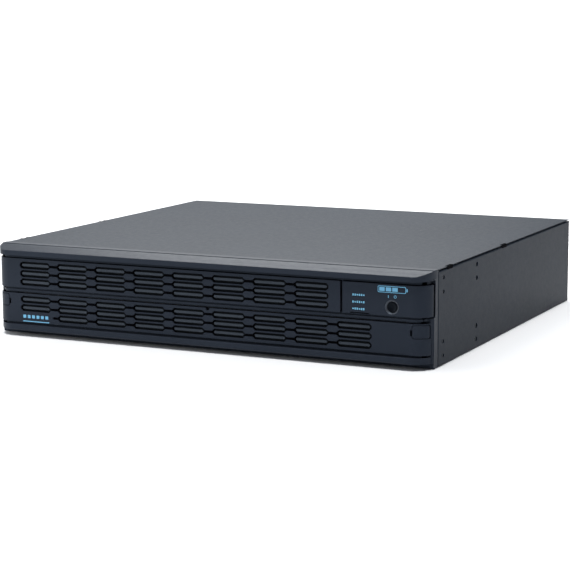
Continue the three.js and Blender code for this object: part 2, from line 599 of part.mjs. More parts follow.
function outlet(x, z) {
  const flange = box([x - 16.5, x + 16.5], [PANEL_REAR_Y + GAP, PANEL_REAR_Y + 2.6], [z - 14, z + 14]);
  const body = box([x - 13.4, x + 13.4], [PANEL_FRONT_Y - 18, PANEL_REAR_Y + 1], [z - 11.4, z + 11.4]);
  const reach = [PANEL_FRONT_Y - 15, REAR_Y + 1];
  const blades = [-6.35, 6.35].map((dx) => box([x + dx - 1, x + dx + 1], reach, [z - 0.5, z + 7.5]));
  const earth = rodY(x, z - 6, 2.6, reach, 14);
  return union(flange, body).subtract(union(blades, earth));
}

function breakerBody() {
  const { x, z } = BREAKER;
  const body = box([x - 8, x + 8], [PANEL_FRONT_Y - 30, PANEL_FRONT_Y - GAP], [z - 14, z + 14]);
  const neck = rodY(x, z, 5.9, [PANEL_FRONT_Y - 1, PANEL_REAR_Y + 2.2], 20);
  const nut = rodY(x, z, 8, [PANEL_REAR_Y + GAP, PANEL_REAR_Y + 1.6], 6);
  const bore = rodY(x, z, 3.6, [PANEL_FRONT_Y - 9, REAR_Y + 1], 20);
  return union(body, neck, nut).subtract(bore);
}

function breakerButton() {
  const { x, z } = BREAKER;
  return rodY(x, z, 3.2, [PANEL_FRONT_Y - 5, REAR_Y - 0.3], 18);
}

function serialPort() {
  const { x, z } = SERIAL_PORT;
  const plate = box([x - 15.4, x + 15.4], [PANEL_REAR_Y + GAP, PANEL_REAR_Y + 1.2], [z - 6.2, z + 6.2]);
  const shell = shapeOf([[x - 7.2, z - 4], [x + 7.2, z - 4], [x + 8.6, z + 4], [x - 8.6, z + 4]]);
  const body = box([x - 9.6, x + 9.6], [PANEL_FRONT_Y - 9, PANEL_REAR_Y + 1], [z - 5.2, z + 5.2]);
  const cavity = shapeOf([[x - 6.5, z - 3.3], [x + 6.5, z - 3.3], [x + 7.8, z + 3.3], [x - 7.8, z + 3.3]]);
  const shroud = prismY(shell, [PANEL_REAR_Y, REAR_Y - 0.2]);
  return union(plate, body, shroud).subtract(prismY(cavity, [PANEL_REAR_Y - 3, REAR_Y + 1]));
}

function contactPort() {
  const { x, z } = CONTACT_PORT;
  const body = box([x - 6.2, x + 6.2], [PANEL_FRONT_Y - 14, PANEL_REAR_Y + 1.6], [z - 5.7, z + 5.7]);
  const mouth = box([x - 4.3, x + 4.3], [PANEL_FRONT_Y - 8, REAR_Y], [z - 4, z + 4]);
  return body.subtract(mouth);
}

function optionSlotCover() {
  const { x, z, size: [w, h] } = OPTION_SLOT;
  const plate = box([x - w / 2, x + w / 2], [PANEL_REAR_Y + GAP, PANEL_REAR_Y + 1.5], [z - h / 2, z + h / 2]);
  const fold = box([x - w / 2 + 10, x + w / 2 - 10], [PANEL_FRONT_Y - 6, PANEL_REAR_Y + 1],
    [z + h / 2 - 6.5, z + h / 2 - 5.3]);
  const holes = [-1, 1].map((side) =>
    rodY(x + side * OPTION_SLOT.screwX, z, 1.9, [PANEL_REAR_Y, REAR_Y], 14));
  return union(plate, fold).subtract(union(holes));
}

// pan-head screw in the rear panel's plane with a straight driver slot
function rearScrew(x, z, seatY) {
  const head = rodY(x, z, 3.2, [seatY, seatY + 1.6], 16);
  const shank = rodY(x, z, 1.5, [seatY - 1, seatY + 0.5], 12);
  return union(head, shank)
    .subtract(box([x - 2.2, x + 2.2], [seatY + 0.9, seatY + 3], [z - 0.4, z + 0.4]));
}

// ---- power stage over the bay divider ----
function mainBoard() {
  const { x, y, z, cutX, cutY } = BOARD;
  return box(x, y, z).subtract(box([cutX, x[1] + 1], [y[0] - 1, cutY], [z[0] - 1, z[1] + 1]));
}

function heatSink() {
  const { x, y, z, finTop, fins, pitch, finWall } = HEAT_SINK;
  const base = box(x, y, z);
  const blades = [];
  for (let i = 0; i < fins; i += 1) {
    const finX = (i - (fins - 1) / 2) * pitch;
    blades.push(box([finX - finWall / 2, finX + finWall / 2], y, [z[1] - 1, finTop]));
  }
  return union(base, blades);
}

function capacitor(y) {
  const profile = CAPACITOR_PROFILE.map(([r, z]) => new THREE.Vector2(r, z));
  const can = new THREE.LatheGeometry(profile, 20).rotateX(Math.PI / 2);
  return solid(can.translate(CAPACITOR.x, y, CAPACITOR.z));
}

function transformerCore() {
  const { x, y, z, windowX, windowZ } = CORE;
  const windows = windowX.map((xs) => box(xs, [y[0] - 1, y[1] + 1], windowZ));
  return box(x, y, z).subtract(union(windows));
}

// bobbin round the core's middle leg, filling both windows
function transformerCoil() {
  const { y, windowX: [left, right], windowZ } = CORE;
  const winding = box([left[0] + GAP, right[1] - GAP], [y[0] - COIL_OVERHANG, y[1] + COIL_OVERHANG],
    [windowZ[0] + GAP, windowZ[1] - GAP]);
  const leg = box([left[1] - GAP, right[0] + GAP], [y[0] - GAP, y[1] + GAP],
    [windowZ[0] - 1, windowZ[1] + 1]);
  return winding.subtract(leg);
}

// ---- assembly ----
const chassis = subAssembly("chassis");
add(chassis, "chassis_tray", chassisTray(), FINISH.coat);
add(chassis, "top_cover", topCover(), FINISH.coat);
add(chassis, "front_bulkhead", frontBulkhead(), FINISH.coat);
add(chassis, "rear_panel", rearPanel(), FINISH.coat);
add(chassis, "bay_floor", bayFloor(), FINISH.zinc);
add(chassis, "bay_divider", bayDivider(), FINISH.zinc);
LID_CLIP_Y.forEach((y, i) => {
  const clip = lidClip(y);
  add(chassis, `lid_clip_right_${i + 1}`, clip, FINISH.black);
  add(chassis, `lid_clip_left_${i + 1}`, mirrored(clip), FINISH.black);
});

const front = subAssembly("front");
add(front, "front_bezel", frontBezel(), FINISH.plastic);
add(front, "upper_grille", upperGrille(), FINISH.plastic);
add(front, "control_panel", controlPanel(), FINISH.plastic);
add(front, "battery_cover", batteryCover(), FINISH.plastic);
const rightLatch = coverLatch();
add(front, "cover_latch_right", rightLatch, FINISH.plastic);
add(front, "cover_latch_left", mirrored(rightLatch), FINISH.plastic);
add(front, "power_button", powerButton(), FINISH.black);
STATUS.z.forEach((z, i) => add(front, `status_window_${i + 1}`, statusWindow(z), FINISH.lamp));
add(front, "display_board", displayBoard(), FINISH.board);
add(front, "panel_switch", panelSwitch(), FINISH.black);

const battery = subAssembly("battery");
add(battery, "battery_tray", batteryTray(), FINISH.zinc);
for (let row = 0; row < PACK.rows; row += 1) {
  for (let column = 0; column < PACK.columns; column += 1) {
    const number = row * PACK.columns + column + 1;
    add(battery, `battery_pack_${number}`, batteryPack(column, row), FINISH.wrap);
  }
}
add(battery, "battery_plug", batteryPlug(), FINISH.black);
add(battery, "battery_socket", batterySocket(), FINISH.black);

const rear = subAssembly("rear");
FAN.x.forEach((x, i) => {
  add(rear, `fan_frame_${i + 1}`, fanFrame(x), FINISH.black);
  add(rear, `fan_rotor_${i + 1}`, fanRotor(x), FINISH.black);
  add(rear, `fan_guard_${i + 1}`, fanGuard(x), FINISH.zinc);
});
add(rear, "ac_inlet", acInlet(), FINISH.black);
INLET.pins.forEach((pin) => add(rear, pin.name, inletPin(pin), FINISH.brass));
OUTLETS.z.forEach((z, row) => OUTLETS.x.forEach((x, column) =>
  add(rear, `outlet_${row * OUTLETS.x.length + column + 1}`, outlet(x, z), FINISH.black)));
add(rear, "breaker_body", breakerBody(), FINISH.black);
add(rear, "breaker_button", breakerButton(), FINISH.black);
add(rear, "serial_port", serialPort(), FINISH.zinc);
add(rear, "contact_port", contactPort(), FINISH.zinc);
add(rear, "option_slot_cover", optionSlotCover(), FINISH.coat);
[-1, 1].forEach((side, i) => add(rear, `slot_screw_${i + 1}`,
  rearScrew(OPTION_SLOT.x + side * OPTION_SLOT.screwX, OPTION_SLOT.z, PANEL_REAR_Y + 1.8), FINISH.zinc));
add(rear, "ground_screw", rearScrew(GROUND.x, GROUND.z, PANEL_REAR_Y + GAP), FINISH.brass);

const power = subAssembly("power_stage");
add(power, "main_board", mainBoard(), FINISH.board);
add(power, "heat_sink", heatSink(), FINISH.zinc);
CAPACITOR.y.forEach((y, i) => add(power, `capacitor_${i + 1}`, capacitor(y), FINISH.black));
add(power, "transformer_core", transformerCore(), FINISH.core);
add(power, "transformer_coil", transformerCoil(), FINISH.coil);

export default group;
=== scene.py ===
import json
import math

import bmesh
import bpy
from mathutils import Matrix, Quaternion, Vector

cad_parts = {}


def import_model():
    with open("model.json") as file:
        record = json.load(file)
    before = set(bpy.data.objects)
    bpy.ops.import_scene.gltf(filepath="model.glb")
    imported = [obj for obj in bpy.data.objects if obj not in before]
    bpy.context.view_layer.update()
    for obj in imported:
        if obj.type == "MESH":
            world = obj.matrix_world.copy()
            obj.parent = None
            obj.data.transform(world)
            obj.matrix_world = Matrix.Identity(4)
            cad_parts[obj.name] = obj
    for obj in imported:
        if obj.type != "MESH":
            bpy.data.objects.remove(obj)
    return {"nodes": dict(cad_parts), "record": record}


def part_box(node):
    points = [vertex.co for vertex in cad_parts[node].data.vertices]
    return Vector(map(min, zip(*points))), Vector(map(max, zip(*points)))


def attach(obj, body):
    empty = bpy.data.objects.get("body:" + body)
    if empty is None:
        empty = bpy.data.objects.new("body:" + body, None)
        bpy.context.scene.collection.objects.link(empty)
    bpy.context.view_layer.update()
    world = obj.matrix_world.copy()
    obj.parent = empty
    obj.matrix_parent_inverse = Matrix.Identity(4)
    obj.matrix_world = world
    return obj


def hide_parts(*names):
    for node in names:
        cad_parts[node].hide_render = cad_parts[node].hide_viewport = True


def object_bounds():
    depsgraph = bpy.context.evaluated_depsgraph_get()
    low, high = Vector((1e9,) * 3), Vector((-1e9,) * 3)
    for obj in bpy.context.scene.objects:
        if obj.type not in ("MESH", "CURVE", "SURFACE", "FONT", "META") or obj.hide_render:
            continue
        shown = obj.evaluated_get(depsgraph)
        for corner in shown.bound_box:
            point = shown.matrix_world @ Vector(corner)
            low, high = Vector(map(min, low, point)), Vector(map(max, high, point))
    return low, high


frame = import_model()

CAD_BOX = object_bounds()
MM = 0.001

# ---- places read from the frame ----
SEAM_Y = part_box("front_bezel")[1][1]
COVER_LOW, COVER_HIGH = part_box("battery_cover")
FACE_Y = COVER_LOW[1]
GRILLE_LOW, GRILLE_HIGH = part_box("upper_grille")
PANEL_LOW, PANEL_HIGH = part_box("control_panel")
LATCH_LOW, LATCH_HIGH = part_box("cover_latch_right")
BUTTON_LOW, BUTTON_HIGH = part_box("power_button")
TRAY_LOW, TRAY_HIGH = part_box("chassis_tray")
HALF_W, REAR_Y = TRAY_HIGH[0], TRAY_HIGH[1]
LID_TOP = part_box("top_cover")[1][2]

# ---- front details ----
FACE_HALF_W = 219.3 * MM
FACE_WALL = 2.5 * MM
SKIN = 1.6 * MM  # front layer of the panels
BACK_Y = FACE_Y + SKIN + 0.05 * MM  # front of the near-black layer behind it, which paints the shade inside the openings
EASE = 0.4 * MM  # how far the skins are set in from their openings
PULL_GAP = 1.6 * MM  # extra gap at the upper panels' outer ends
RIM_Y = SEAM_Y - 9.3 * MM  # front of the bezel's rim
RIM_CUT = 2.8 * MM  # how far the rim stands back at the upper panels
COVER_END = SEAM_Y - 12.1 * MM  # where the cover's wrapped ends stop
TAB_END = SEAM_Y - 13.8 * MM  # where the latch tabs stop
FACE_RADIUS = 15 * MM
BEND_X = FACE_HALF_W - FACE_RADIUS
BEND_END = BEND_X + FACE_RADIUS * math.pi / 2
SLOT_PITCH_X = 40.7 * MM
SLOT_PITCH_Z = 8 * MM
SLOT_FIRST_X = -175 * MM
SLOT_LENGTH = 32.6 * MM
SLOT_HEIGHT = 6.2 * MM
SLOT_CUT = 2.2 * MM
LINK_HALF = 1.15 * MM  # half height of the groove that joins two slots
STUB_LENGTH = 5.5 * MM  # groove left of a row that starts one column late
BAR_LENGTH = 30 * MM
BAR_HEIGHT = 2.9 * MM
UPPER_SLOT_Z = 67.8 * MM
LOWER_SLOT_Z = 35.2 * MM


# ---- meshes ----
def link(obj):
    bpy.context.scene.collection.objects.link(obj)
    return obj


def object_from(name, bm):
    mesh = bpy.data.meshes.new(name)
    bm.to_mesh(mesh)
    bm.free()
    return link(bpy.data.objects.new(name, mesh))


def smooth(obj, angle=32):
    """Smooth shading with creases kept where faces meet at more than the angle."""
    mesh = obj.data
    mesh.polygons.foreach_set("use_smooth", [True] * len(mesh.polygons))
    mesh.set_sharp_from_angle(angle=math.radians(angle))
    weighted = obj.modifiers.new("weighted_normals", "WEIGHTED_NORMAL")
    weighted.keep_sharp = True
    return obj


def bm_plate(outer, holes, y0, y1, bevel, rounds=1):
    """Flat plate in X and Z from depth y0 back to y1, with softened edges at its rim and holes."""
    curve = bpy.data.curves.new("outline", "CURVE")
    curve.dimensions = "2D"
    curve.fill_mode = "BOTH"
    curve.extrude = (y1 - y0) / 2 - bevel
    curve.bevel_depth = bevel
    curve.bevel_resolution = rounds
    curve.offset = -bevel
    for ring in (outer, *holes):
        spline = curve.splines.new("POLY")
        spline.points.add(len(ring) - 1)
        for point, (x, z) in zip(spline.points, ring):
            point.co = (x, z, 0, 1)
        spline.use_cyclic_u = True
    holder = link(bpy.data.objects.new("outline", curve))
    mesh = bpy.data.meshes.new_from_object(holder.evaluated_get(bpy.context.evaluated_depsgraph_get()))
    bm = bmesh.new()
    bm.from_mesh(mesh)
    bpy.data.objects.remove(holder)
    bpy.data.curves.remove(curve)
    bpy.data.meshes.remove(mesh)
    bmesh.ops.transform(bm, matrix=Matrix.Rotation(math.pi / 2, 4, "X"), verts=bm.verts)
    bmesh.ops.translate(bm, vec=(0, (y0 + y1) / 2, 0), verts=bm.verts)
    bmesh.ops.remove_doubles(bm, verts=bm.verts, dist=1e-6)
    return bm


def joined(*parts):
    """One bmesh that holds all the given ones, which are freed."""
    whole = bmesh.new()
    for part in parts:
        mesh = bpy.data.meshes.new("part")
        part.to_mesh(mesh)
        part.free()
        whole.from_mesh(mesh)
        bpy.data.meshes.remove(mesh)
    return whole


def cut_across(bm, at, normal):
    """Adds edges where a plane crosses the mesh."""
    geometry = bm.verts[:] + bm.edges[:] + bm.faces[:]
    bmesh.ops.bisect_plane(bm, geom=geometry, plane_co=at, plane_no=normal)


def wrap_round_corners(bm):
    """Bends a flat face plate, drawn developed, round both front corners of the bezel."""
    steps = 12
    for side in (-1, 1):
        for i in range(steps + 1):
            cut_across(bm, (side * (BEND_X + (BEND_END - BEND_X) * i / steps), 0, 0), (1, 0, 0))
    for vert in bm.verts:
        vert.co = wrapped(vert.co)
    return bm


def wrapped(co):
    """Where a point of the developed face plate goes on the bezel's wrapped face."""
    side = math.copysign(1, co.x)
    u, depth = abs(co.x), co.y - FACE_Y
    if u <= BEND_X:
        return co
    if u <= BEND_END:
        angle = (u - BEND_X) / FACE_RADIUS
        radius = FACE_RADIUS - depth
        return Vector((side * (BEND_X + radius * math.sin(angle)),
                       FACE_Y + FACE_RADIUS - radius * math.cos(angle), co.z))
    return Vector((side * (FACE_HALF_W - depth), FACE_Y + FACE_RADIUS + u - BEND_END, co.z))


def developed(x):
    """Distance along the face plate to a point at x on the wrapped corner's outside."""
    if abs(x) <= BEND_X:
        return x
    return math.copysign(BEND_X + FACE_RADIUS * math.asin((abs(x) - BEND_X) / FACE_RADIUS), x)


def face_end(y):
    """Distance along the face plate to a depth y round the corner."""
    below = FACE_Y + FACE_RADIUS - y
    if below > 0:
        return BEND_X + FACE_RADIUS * math.acos(below / FACE_RADIUS)
    return BEND_END - below


def arc(cx, cz, radius, start, end, steps):
    """Points of an arc, angles in degrees."""
    turn = [math.radians(start + (end - start) * i / steps) for i in range(steps + 1)]
    return [(cx + radius * math.cos(a), cz + radius * math.sin(a)) for a in turn]


def rounded_box(x0, x1, z0, z1, radius, steps=5):
    return (arc(x1 - radius, z1 - radius, radius, 0, 90, steps)
            + arc(x0 + radius, z1 - radius, radius, 90, 180, steps)
            + arc(x0 + radius, z0 + radius, radius, 180, 270, steps)
            + arc(x1 - radius, z0 + radius, radius, 270, 360, steps))


def pill(x, z, length, height, steps=8):
    half = length / 2
    return rounded_box(x - half, x + half, z - height / 2, z + height / 2, height / 2 * 0.999, steps)


def slot_outline(x, z):
    """One grille slot with chamfered ends."""
    hx, hz = SLOT_LENGTH / 2, SLOT_HEIGHT / 2
    tip = hz - SLOT_CUT
    return [(x - hx, z - tip), (x - hx + SLOT_CUT, z - hz), (x + hx - SLOT_CUT, z - hz), (x + hx, z - tip),
            (x + hx, z + tip), (x + hx - SLOT_CUT, z + hz), (x - hx + SLOT_CUT, z + hz), (x - hx, z + tip)]


def chain_outline(first, columns, z):
    """A row of slots joined by narrow grooves, as the front layer is cut; a short row starts with a stub."""
    hx, hz = SLOT_LENGTH / 2 + 0.25 * MM, SLOT_HEIGHT / 2 + 0.25 * MM
    below = []
    if first:
        stub = SLOT_FIRST_X + first * SLOT_PITCH_X - hx - STUB_LENGTH
        below = [(stub, -0.6 * MM), (stub + 0.6 * MM, -LINK_HALF)]
    for column in range(first, columns):
        x = SLOT_FIRST_X + column * SLOT_PITCH_X
        below += [(x - hx, -LINK_HALF), (x - hx + SLOT_CUT, -hz),
                  (x + hx - SLOT_CUT, -hz), (x + hx, -LINK_HALF)]
    above = [(x, -dz) for x, dz in reversed(below)]
    return [(x, z + dz) for x, dz in below + above]


# ---- materials ----
class Shader:
    """A material's node tree with short calls for the nodes used here."""

    def __init__(self, name):
        self.material = bpy.data.materials.new(name)
        self.material.use_nodes = True
        self.tree = self.material.node_tree
        self.bsdf = self.tree.nodes["Principled BSDF"]
        self.place = self.node("ShaderNodeTexCoord").outputs["Object"]

    def node(self, kind, **settings):
        made = self.tree.nodes.new(kind)
        for key, value in settings.items():
            setattr(made, key, value)
        return made

    def put(self, socket, value):
        if hasattr(value, "is_output"):
            self.tree.links.new(value, socket)
        else:
            socket.default_value = value

    def stretched(self, scale):
        mapping = self.node("ShaderNodeMapping")
        self.put(mapping.inputs["Vector"], self.place)
        mapping.inputs["Scale"].default_value = scale
        return mapping.outputs["Vector"]

    def noise(self, scale, detail=3, vector=None, roughness=0.5):
        made = self.node("ShaderNodeTexNoise")
        self.put(made.inputs["Vector"], vector or self.place)
        made.inputs["Scale"].default_value = scale
        made.inputs["Detail"].default_value = detail
        made.inputs["Roughness"].default_value = roughness
        return made.outputs["Fac"]

    def spread(self, value, low, high, from_low=0.3, from_high=0.7):
        made = self.node("ShaderNodeMapRange")
        self.put(made.inputs["Value"], value)
        ranges = (("From Min", from_low), ("From Max", from_high), ("To Min", low), ("To Max", high))
        for socket, number in ranges:
            made.inputs[socket].default_value = number
        return made.outputs["Result"]

    def math(self, operation, a, b):
        made = self.node("ShaderNodeMath", operation=operation)
        self.put(made.inputs[0], a)
        self.put(made.inputs[1], b)
        return made.outputs["Value"]

    def mix(self, factor, a, b):
        made = self.node("ShaderNodeMix", data_type="RGBA")
        self.put(made.inputs["Factor"], factor)
        self.put(made.inputs["A"], a)
        self.put(made.inputs["B"], b)
        return made.outputs["Result"]

    def edges(self, radius=0.5 * MM):
        """1 along sharp edges, 0 on flat faces."""
        rounded = self.node("ShaderNodeBevel", samples=4)
        rounded.inputs["Radius"].default_value = radius
        plain = self.node("ShaderNodeNewGeometry").outputs["Normal"]
        dot = self.node("ShaderNodeVectorMath", operation="DOT_PRODUCT")
        self.put(dot.inputs[0], rounded.outputs["Normal"])
        self.put(dot.inputs[1], plain)
        return self.spread(dot.outputs["Value"], 1, 0, 0.82, 0.995)

    def bump(self, height, strength, distance):
        made = self.node("ShaderNodeBump")
        made.inputs["Strength"].default_value = strength
        made.inputs["Distance"].default_value = distance
        self.put(made.inputs["Height"], height)
        self.put(self.bsdf.inputs["Normal"], made.outputs["Normal"])


def shade(colour, factor):
    return tuple(min(1, c * factor) for c in colour[:3]) + (1,)


COOL = (0.62, 0.8, 1, 1)  # sheen tint of the surfaces that aren't metal


def surface(name, colour, rough, grain, relief, metallic=0.0, edge_wear_and_highlight=0.0, variation=0.12,
            stretch=(1, 1, 1), gloss=0.25):
    """Coated, moulded or metal surface: broad tone change, fine grain relief, and lightened edges, which show
    wear and, where set high as on the grille bars, a painted highlight.
    """
    s = Shader(name)
    broad = s.noise(9, 4, s.stretched(stretch))
    mottled = s.mix(s.spread(broad, 0, 1), shade(colour, 1 - variation), shade(colour, 1 + variation))
    fine = s.noise(grain, 2, s.stretched(stretch), 0.6)
    speckled = s.mix(s.spread(fine, 0, 0.35), mottled, shade(colour, 1 + 2.2 * variation))
    scuffs = s.noise(220, 5, None, 0.7)
    if edge_wear_and_highlight:
        worn_and_lit_edges = s.math("MULTIPLY", s.edges(), s.spread(s.noise(140, 4), 0, edge_wear_and_highlight, 0.35, 0.75))
        speckled = s.mix(worn_and_lit_edges, speckled, shade(colour, 2.6))
    s.put(s.bsdf.inputs["Base Color"], speckled)
    s.put(s.bsdf.inputs["Roughness"], s.spread(scuffs, rough - 0.03, rough + 0.04))
    s.bsdf.inputs["Metallic"].default_value = metallic
    if not metallic:
        s.bsdf.inputs["Specular IOR Level"].default_value = gloss
        s.bsdf.inputs["Specular Tint"].default_value = COOL
    s.bump(fine, relief, 0.1 * MM)
    return s.material


COAT = surface("chassis_coat", (0.0120, 0.0165, 0.0245), 0.40, 1500, 0.35,
               edge_wear_and_highlight=0.12, variation=0.10, gloss=0.055)
PLASTIC = surface("bezel_plastic", (0.017, 0.0205, 0.029), 0.42, 1900, 0.25,
                  edge_wear_and_highlight=0.10, variation=0.08, gloss=0.13)
# Lighter copy of the bezel plastic with strong edge lightening: painted highlight on the grille bars.
LIT_BAR = surface("grille_bar_painted_highlight", (0.025, 0.028, 0.034), 0.40, 1900, 0.25, edge_wear_and_highlight=0.3, variation=0.08, gloss=0.35)
# Lighter than the bezel plastic: painted highlight on the chamfer round the power button.
LIT_RING = surface("button_ring_painted_highlight", (0.055, 0.060, 0.070), 0.45, 1900, 0.15, variation=0.08, gloss=0.5)
# Near-black, matt sheets set behind openings and in gaps: painted shade.
PAINTED_SHADE = surface("painted_shade_black", (0.003, 0.003, 0.004), 0.9, 1500, 0.3, gloss=0.0)
BUTTON = surface("button_plastic", (0.003, 0.0035, 0.005), 0.42, 1500, 0.15, gloss=0.08)
BLACK = surface("black_plastic", (0.013, 0.013, 0.014), 0.45, 1300, 0.3, edge_wear_and_highlight=0.2)
FOAM = surface("black_foam", (0.003, 0.003, 0.003), 0.95, 900, 1.0)
CLIP = surface("black_clip", (0.005, 0.005, 0.006), 0.8, 1500, 0.2, gloss=0.01)
ZINC = surface("zinc_steel", (0.52, 0.53, 0.53), 0.36, 700, 0.15, metallic=0.9, variation=0.08)
BRASS = surface("brass_contact", (0.55, 0.42, 0.20), 0.3, 900, 0.1, metallic=0.95)
LAMP = surface("status_lamp", (0.17, 0.42, 0.60), 0.3, 1500, 0.1, variation=0.06)
INK = surface("pale_blue_ink", (0.16, 0.42, 0.62), 0.5, 2500, 0.1, variation=0.06)
BOARD = surface("circuit_board", (0.02, 0.12, 0.05), 0.4, 500, 0.3)
WRAP = surface("battery_wrap", (0.022, 0.062, 0.155), 0.34, 500, 0.1)
ALLOY = surface("heat_sink_alloy", (0.62, 0.63, 0.64), 0.4, 500, 0.2, metallic=0.9, stretch=(1, 0.05, 1))
CAN = surface("capacitor_sleeve", (0.012, 0.016, 0.035), 0.35, 900, 0.1)
CORE = surface("core_steel", (0.09, 0.09, 0.10), 0.5, 700, 0.4, metallic=0.5, stretch=(1, 14, 1))
COIL = surface("coil_winding", (0.34, 0.12, 0.03), 0.35, 700, 0.5, metallic=0.4, stretch=(1, 1, 12))

SLOT_MATERIALS = {
    "chassis_coat": COAT, "zinc_steel": ZINC, "black_clip": CLIP, "bezel_plastic": PLASTIC,
    "button_plastic": BUTTON, "status_lamp": LAMP, "circuit_board": BOARD, "black_plastic": BLACK,
    "battery_wrap": WRAP, "brass_contact": BRASS, "heat_sink_alloy": ALLOY, "capacitor_sleeve": CAN,
    "core_steel": CORE, "coil_winding": COIL,
}
NODE_SLOT = {row["node"]: row["material_slot"] for row in frame["record"]["subparts"]}
BODIES = frame["record"]["behaviour"]["bodies"]
BODY_OF = {node: body for body, nodes in BODIES.items() for node in nodes}


def place(obj, node, material=None, stands_for=True):
    """Gives a new piece its material and body, and hides its CAD node when the piece stands for it."""
    obj.data.materials.clear()
    obj.data.materials.append(material or SLOT_MATERIALS[NODE_SLOT[node]])
    if stands_for:
        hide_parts(node)
    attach(obj, BODY_OF[node])
    return obj


# ---- nodes that keep the shape of their CAD solid ----
BEZEL_EDGE, OTHER_EDGE = 0.3 * MM, 0.25 * MM
NEAR = 0.02 * MM  # a vertex this close to a level or plane is on it
# Heights of the brow's top, in mm: in the CAD solid, and as the photograph shows them.
BROW_LEVELS = {85.3: 85.55, 84.6: 84.45, 83.7: 83.45, 82.6: 82.55, 81.6: 82.0, 81.0: 81.7}
RIB_Z = (40 * MM, 45 * MM)
RIB_INSET = 2 * MM
RIM_OPENING = (PANEL_LOW[2] - 0.4 * MM, PANEL_HIGH[2] + 3.1 * MM)
RIM_SLOPE = 0.6 * MM  # height over which the rim comes forward again
RIM_X = 216 * MM  # the rim is outside this
CLIPS = [f"lid_clip_{side}_{i}" for side in ("left", "right") for i in (1, 2)]
CUSTOM = {
    *CLIPS,
    "chassis_tray", "top_cover", "upper_grille", "battery_cover", "control_panel", "power_button",
    "cover_latch_left", "cover_latch_right", "status_window_1", "status_window_2", "status_window_3",
    "fan_guard_1", "fan_guard_2", "fan_rotor_1", "fan_rotor_2",
}


def shape_bezel(bm):
    """Cuts the rim back at the upper panels, straightens the brow's slope, sets the rib in at the corners."""
    low, high = RIM_OPENING
    for z in (low - RIM_SLOPE, low, high, high + RIM_SLOPE):
        cut_across(bm, (0, 0, z), (0, 0, 1))
    for vert in bm.verts:
        at_rim = abs(vert.co.y - RIM_Y) < NEAR and abs(vert.co.x) > RIM_X
        if at_rim and low - NEAR < vert.co.z < high + NEAR:
            vert.co.y += RIM_CUT
    for vert in bm.verts:
        for built, shown in BROW_LEVELS.items():
            if abs(vert.co.z - built * MM) < NEAR and vert.co.y < SEAM_Y:
                vert.co.z = shown * MM
        turned = (abs(vert.co.x) - BEND_X) / (FACE_HALF_W - BEND_X)
        if RIB_Z[0] < vert.co.z < RIB_Z[1] and turned > 0.3 and vert.co.y < RIM_Y - 0.2 * MM:
            vert.co.x -= math.copysign(min(1, turned) * RIB_INSET, vert.co.x)


def softened_copy(node):
    """The node's own solid with flat faces merged, edges rounded off and curved faces shaded smooth."""
    source = frame["nodes"][node]
    bm = bmesh.new()
    bm.from_mesh(source.data)
    bmesh.ops.transform(bm, matrix=source.matrix_world, verts=bm.verts)
    bmesh.ops.remove_doubles(bm, verts=bm.verts, dist=1e-6)
    bmesh.ops.dissolve_limit(bm, angle_limit=math.radians(1), verts=bm.verts, edges=bm.edges)
    if node == "front_bezel":
        shape_bezel(bm)
    obj = object_from(node + "_body", bm)
    bevel = obj.modifiers.new("soft_edges", "BEVEL")
    bevel.width = BEZEL_EDGE if node == "front_bezel" else OTHER_EDGE
    bevel.segments = 2
    bevel.limit_method = "ANGLE"
    bevel.angle_limit = math.radians(40)
    place(smooth(obj), node)


for node in frame["nodes"]:
    if node not in CUSTOM:
        softened_copy(node)


# ---- folded sheet metal ----
class Fold:
    """Section of a folded sheet in X and Z: straight runs and round bends, measured along its outside."""

    def __init__(self, corners, radius):
        self.runs = []  # (start, length, point, direction, bend centre or None)
        self.marks = []
        at, where = 0.0, Vector(corners[0])
        for i, corner in enumerate(corners[1:], 1):
            corner = Vector(corner)
            heading = (corner - Vector(corners[i - 1])).normalized()
            last = i == len(corners) - 1
            stop = corner if last else corner - heading * radius
            length = (stop - where).length
            self.runs.append((at, length, where, heading, None))
            at += length
            if last:
                break
            turn = (Vector(corners[i + 1]) - corner).normalized()
            bend = radius * math.pi / 2
            self.runs.append((at, bend, stop, heading, (stop + turn * radius, turn)))
            self.marks += [at + bend * step / 5 for step in range(6)]
            at += bend
            where = corner + turn * radius
        self.length = at
        self.radius = radius

    def point(self, u, depth):
        """Where a point of the flat blank goes, depth counted inward from the outside."""
        for start, length, origin, heading, bend in self.runs:
            if u <= start + length or start + length >= self.length:
                break
        if bend is None:
            inward = Vector((heading.y, -heading.x))
            return origin + heading * (u - start) + inward * depth
        centre, turn = bend
        angle = (u - start) / self.radius
        spoke = heading * math.sin(angle) - turn * math.cos(angle)
        return centre + spoke * (self.radius - depth)

    def bend_blank(self, bm):
        """Folds a flat blank, drawn as X along the section and Z along the depth."""
        for mark in self.marks:
            cut_across(bm, (mark, 0, 0), (1, 0, 0))
        for vert in bm.verts:
            at = self.point(vert.co.x, vert.co.y)
            vert.co = (at.x, vert.co.z, at.y)
        bmesh.ops.recalc_face_normals(bm, faces=bm.faces)
        return bm


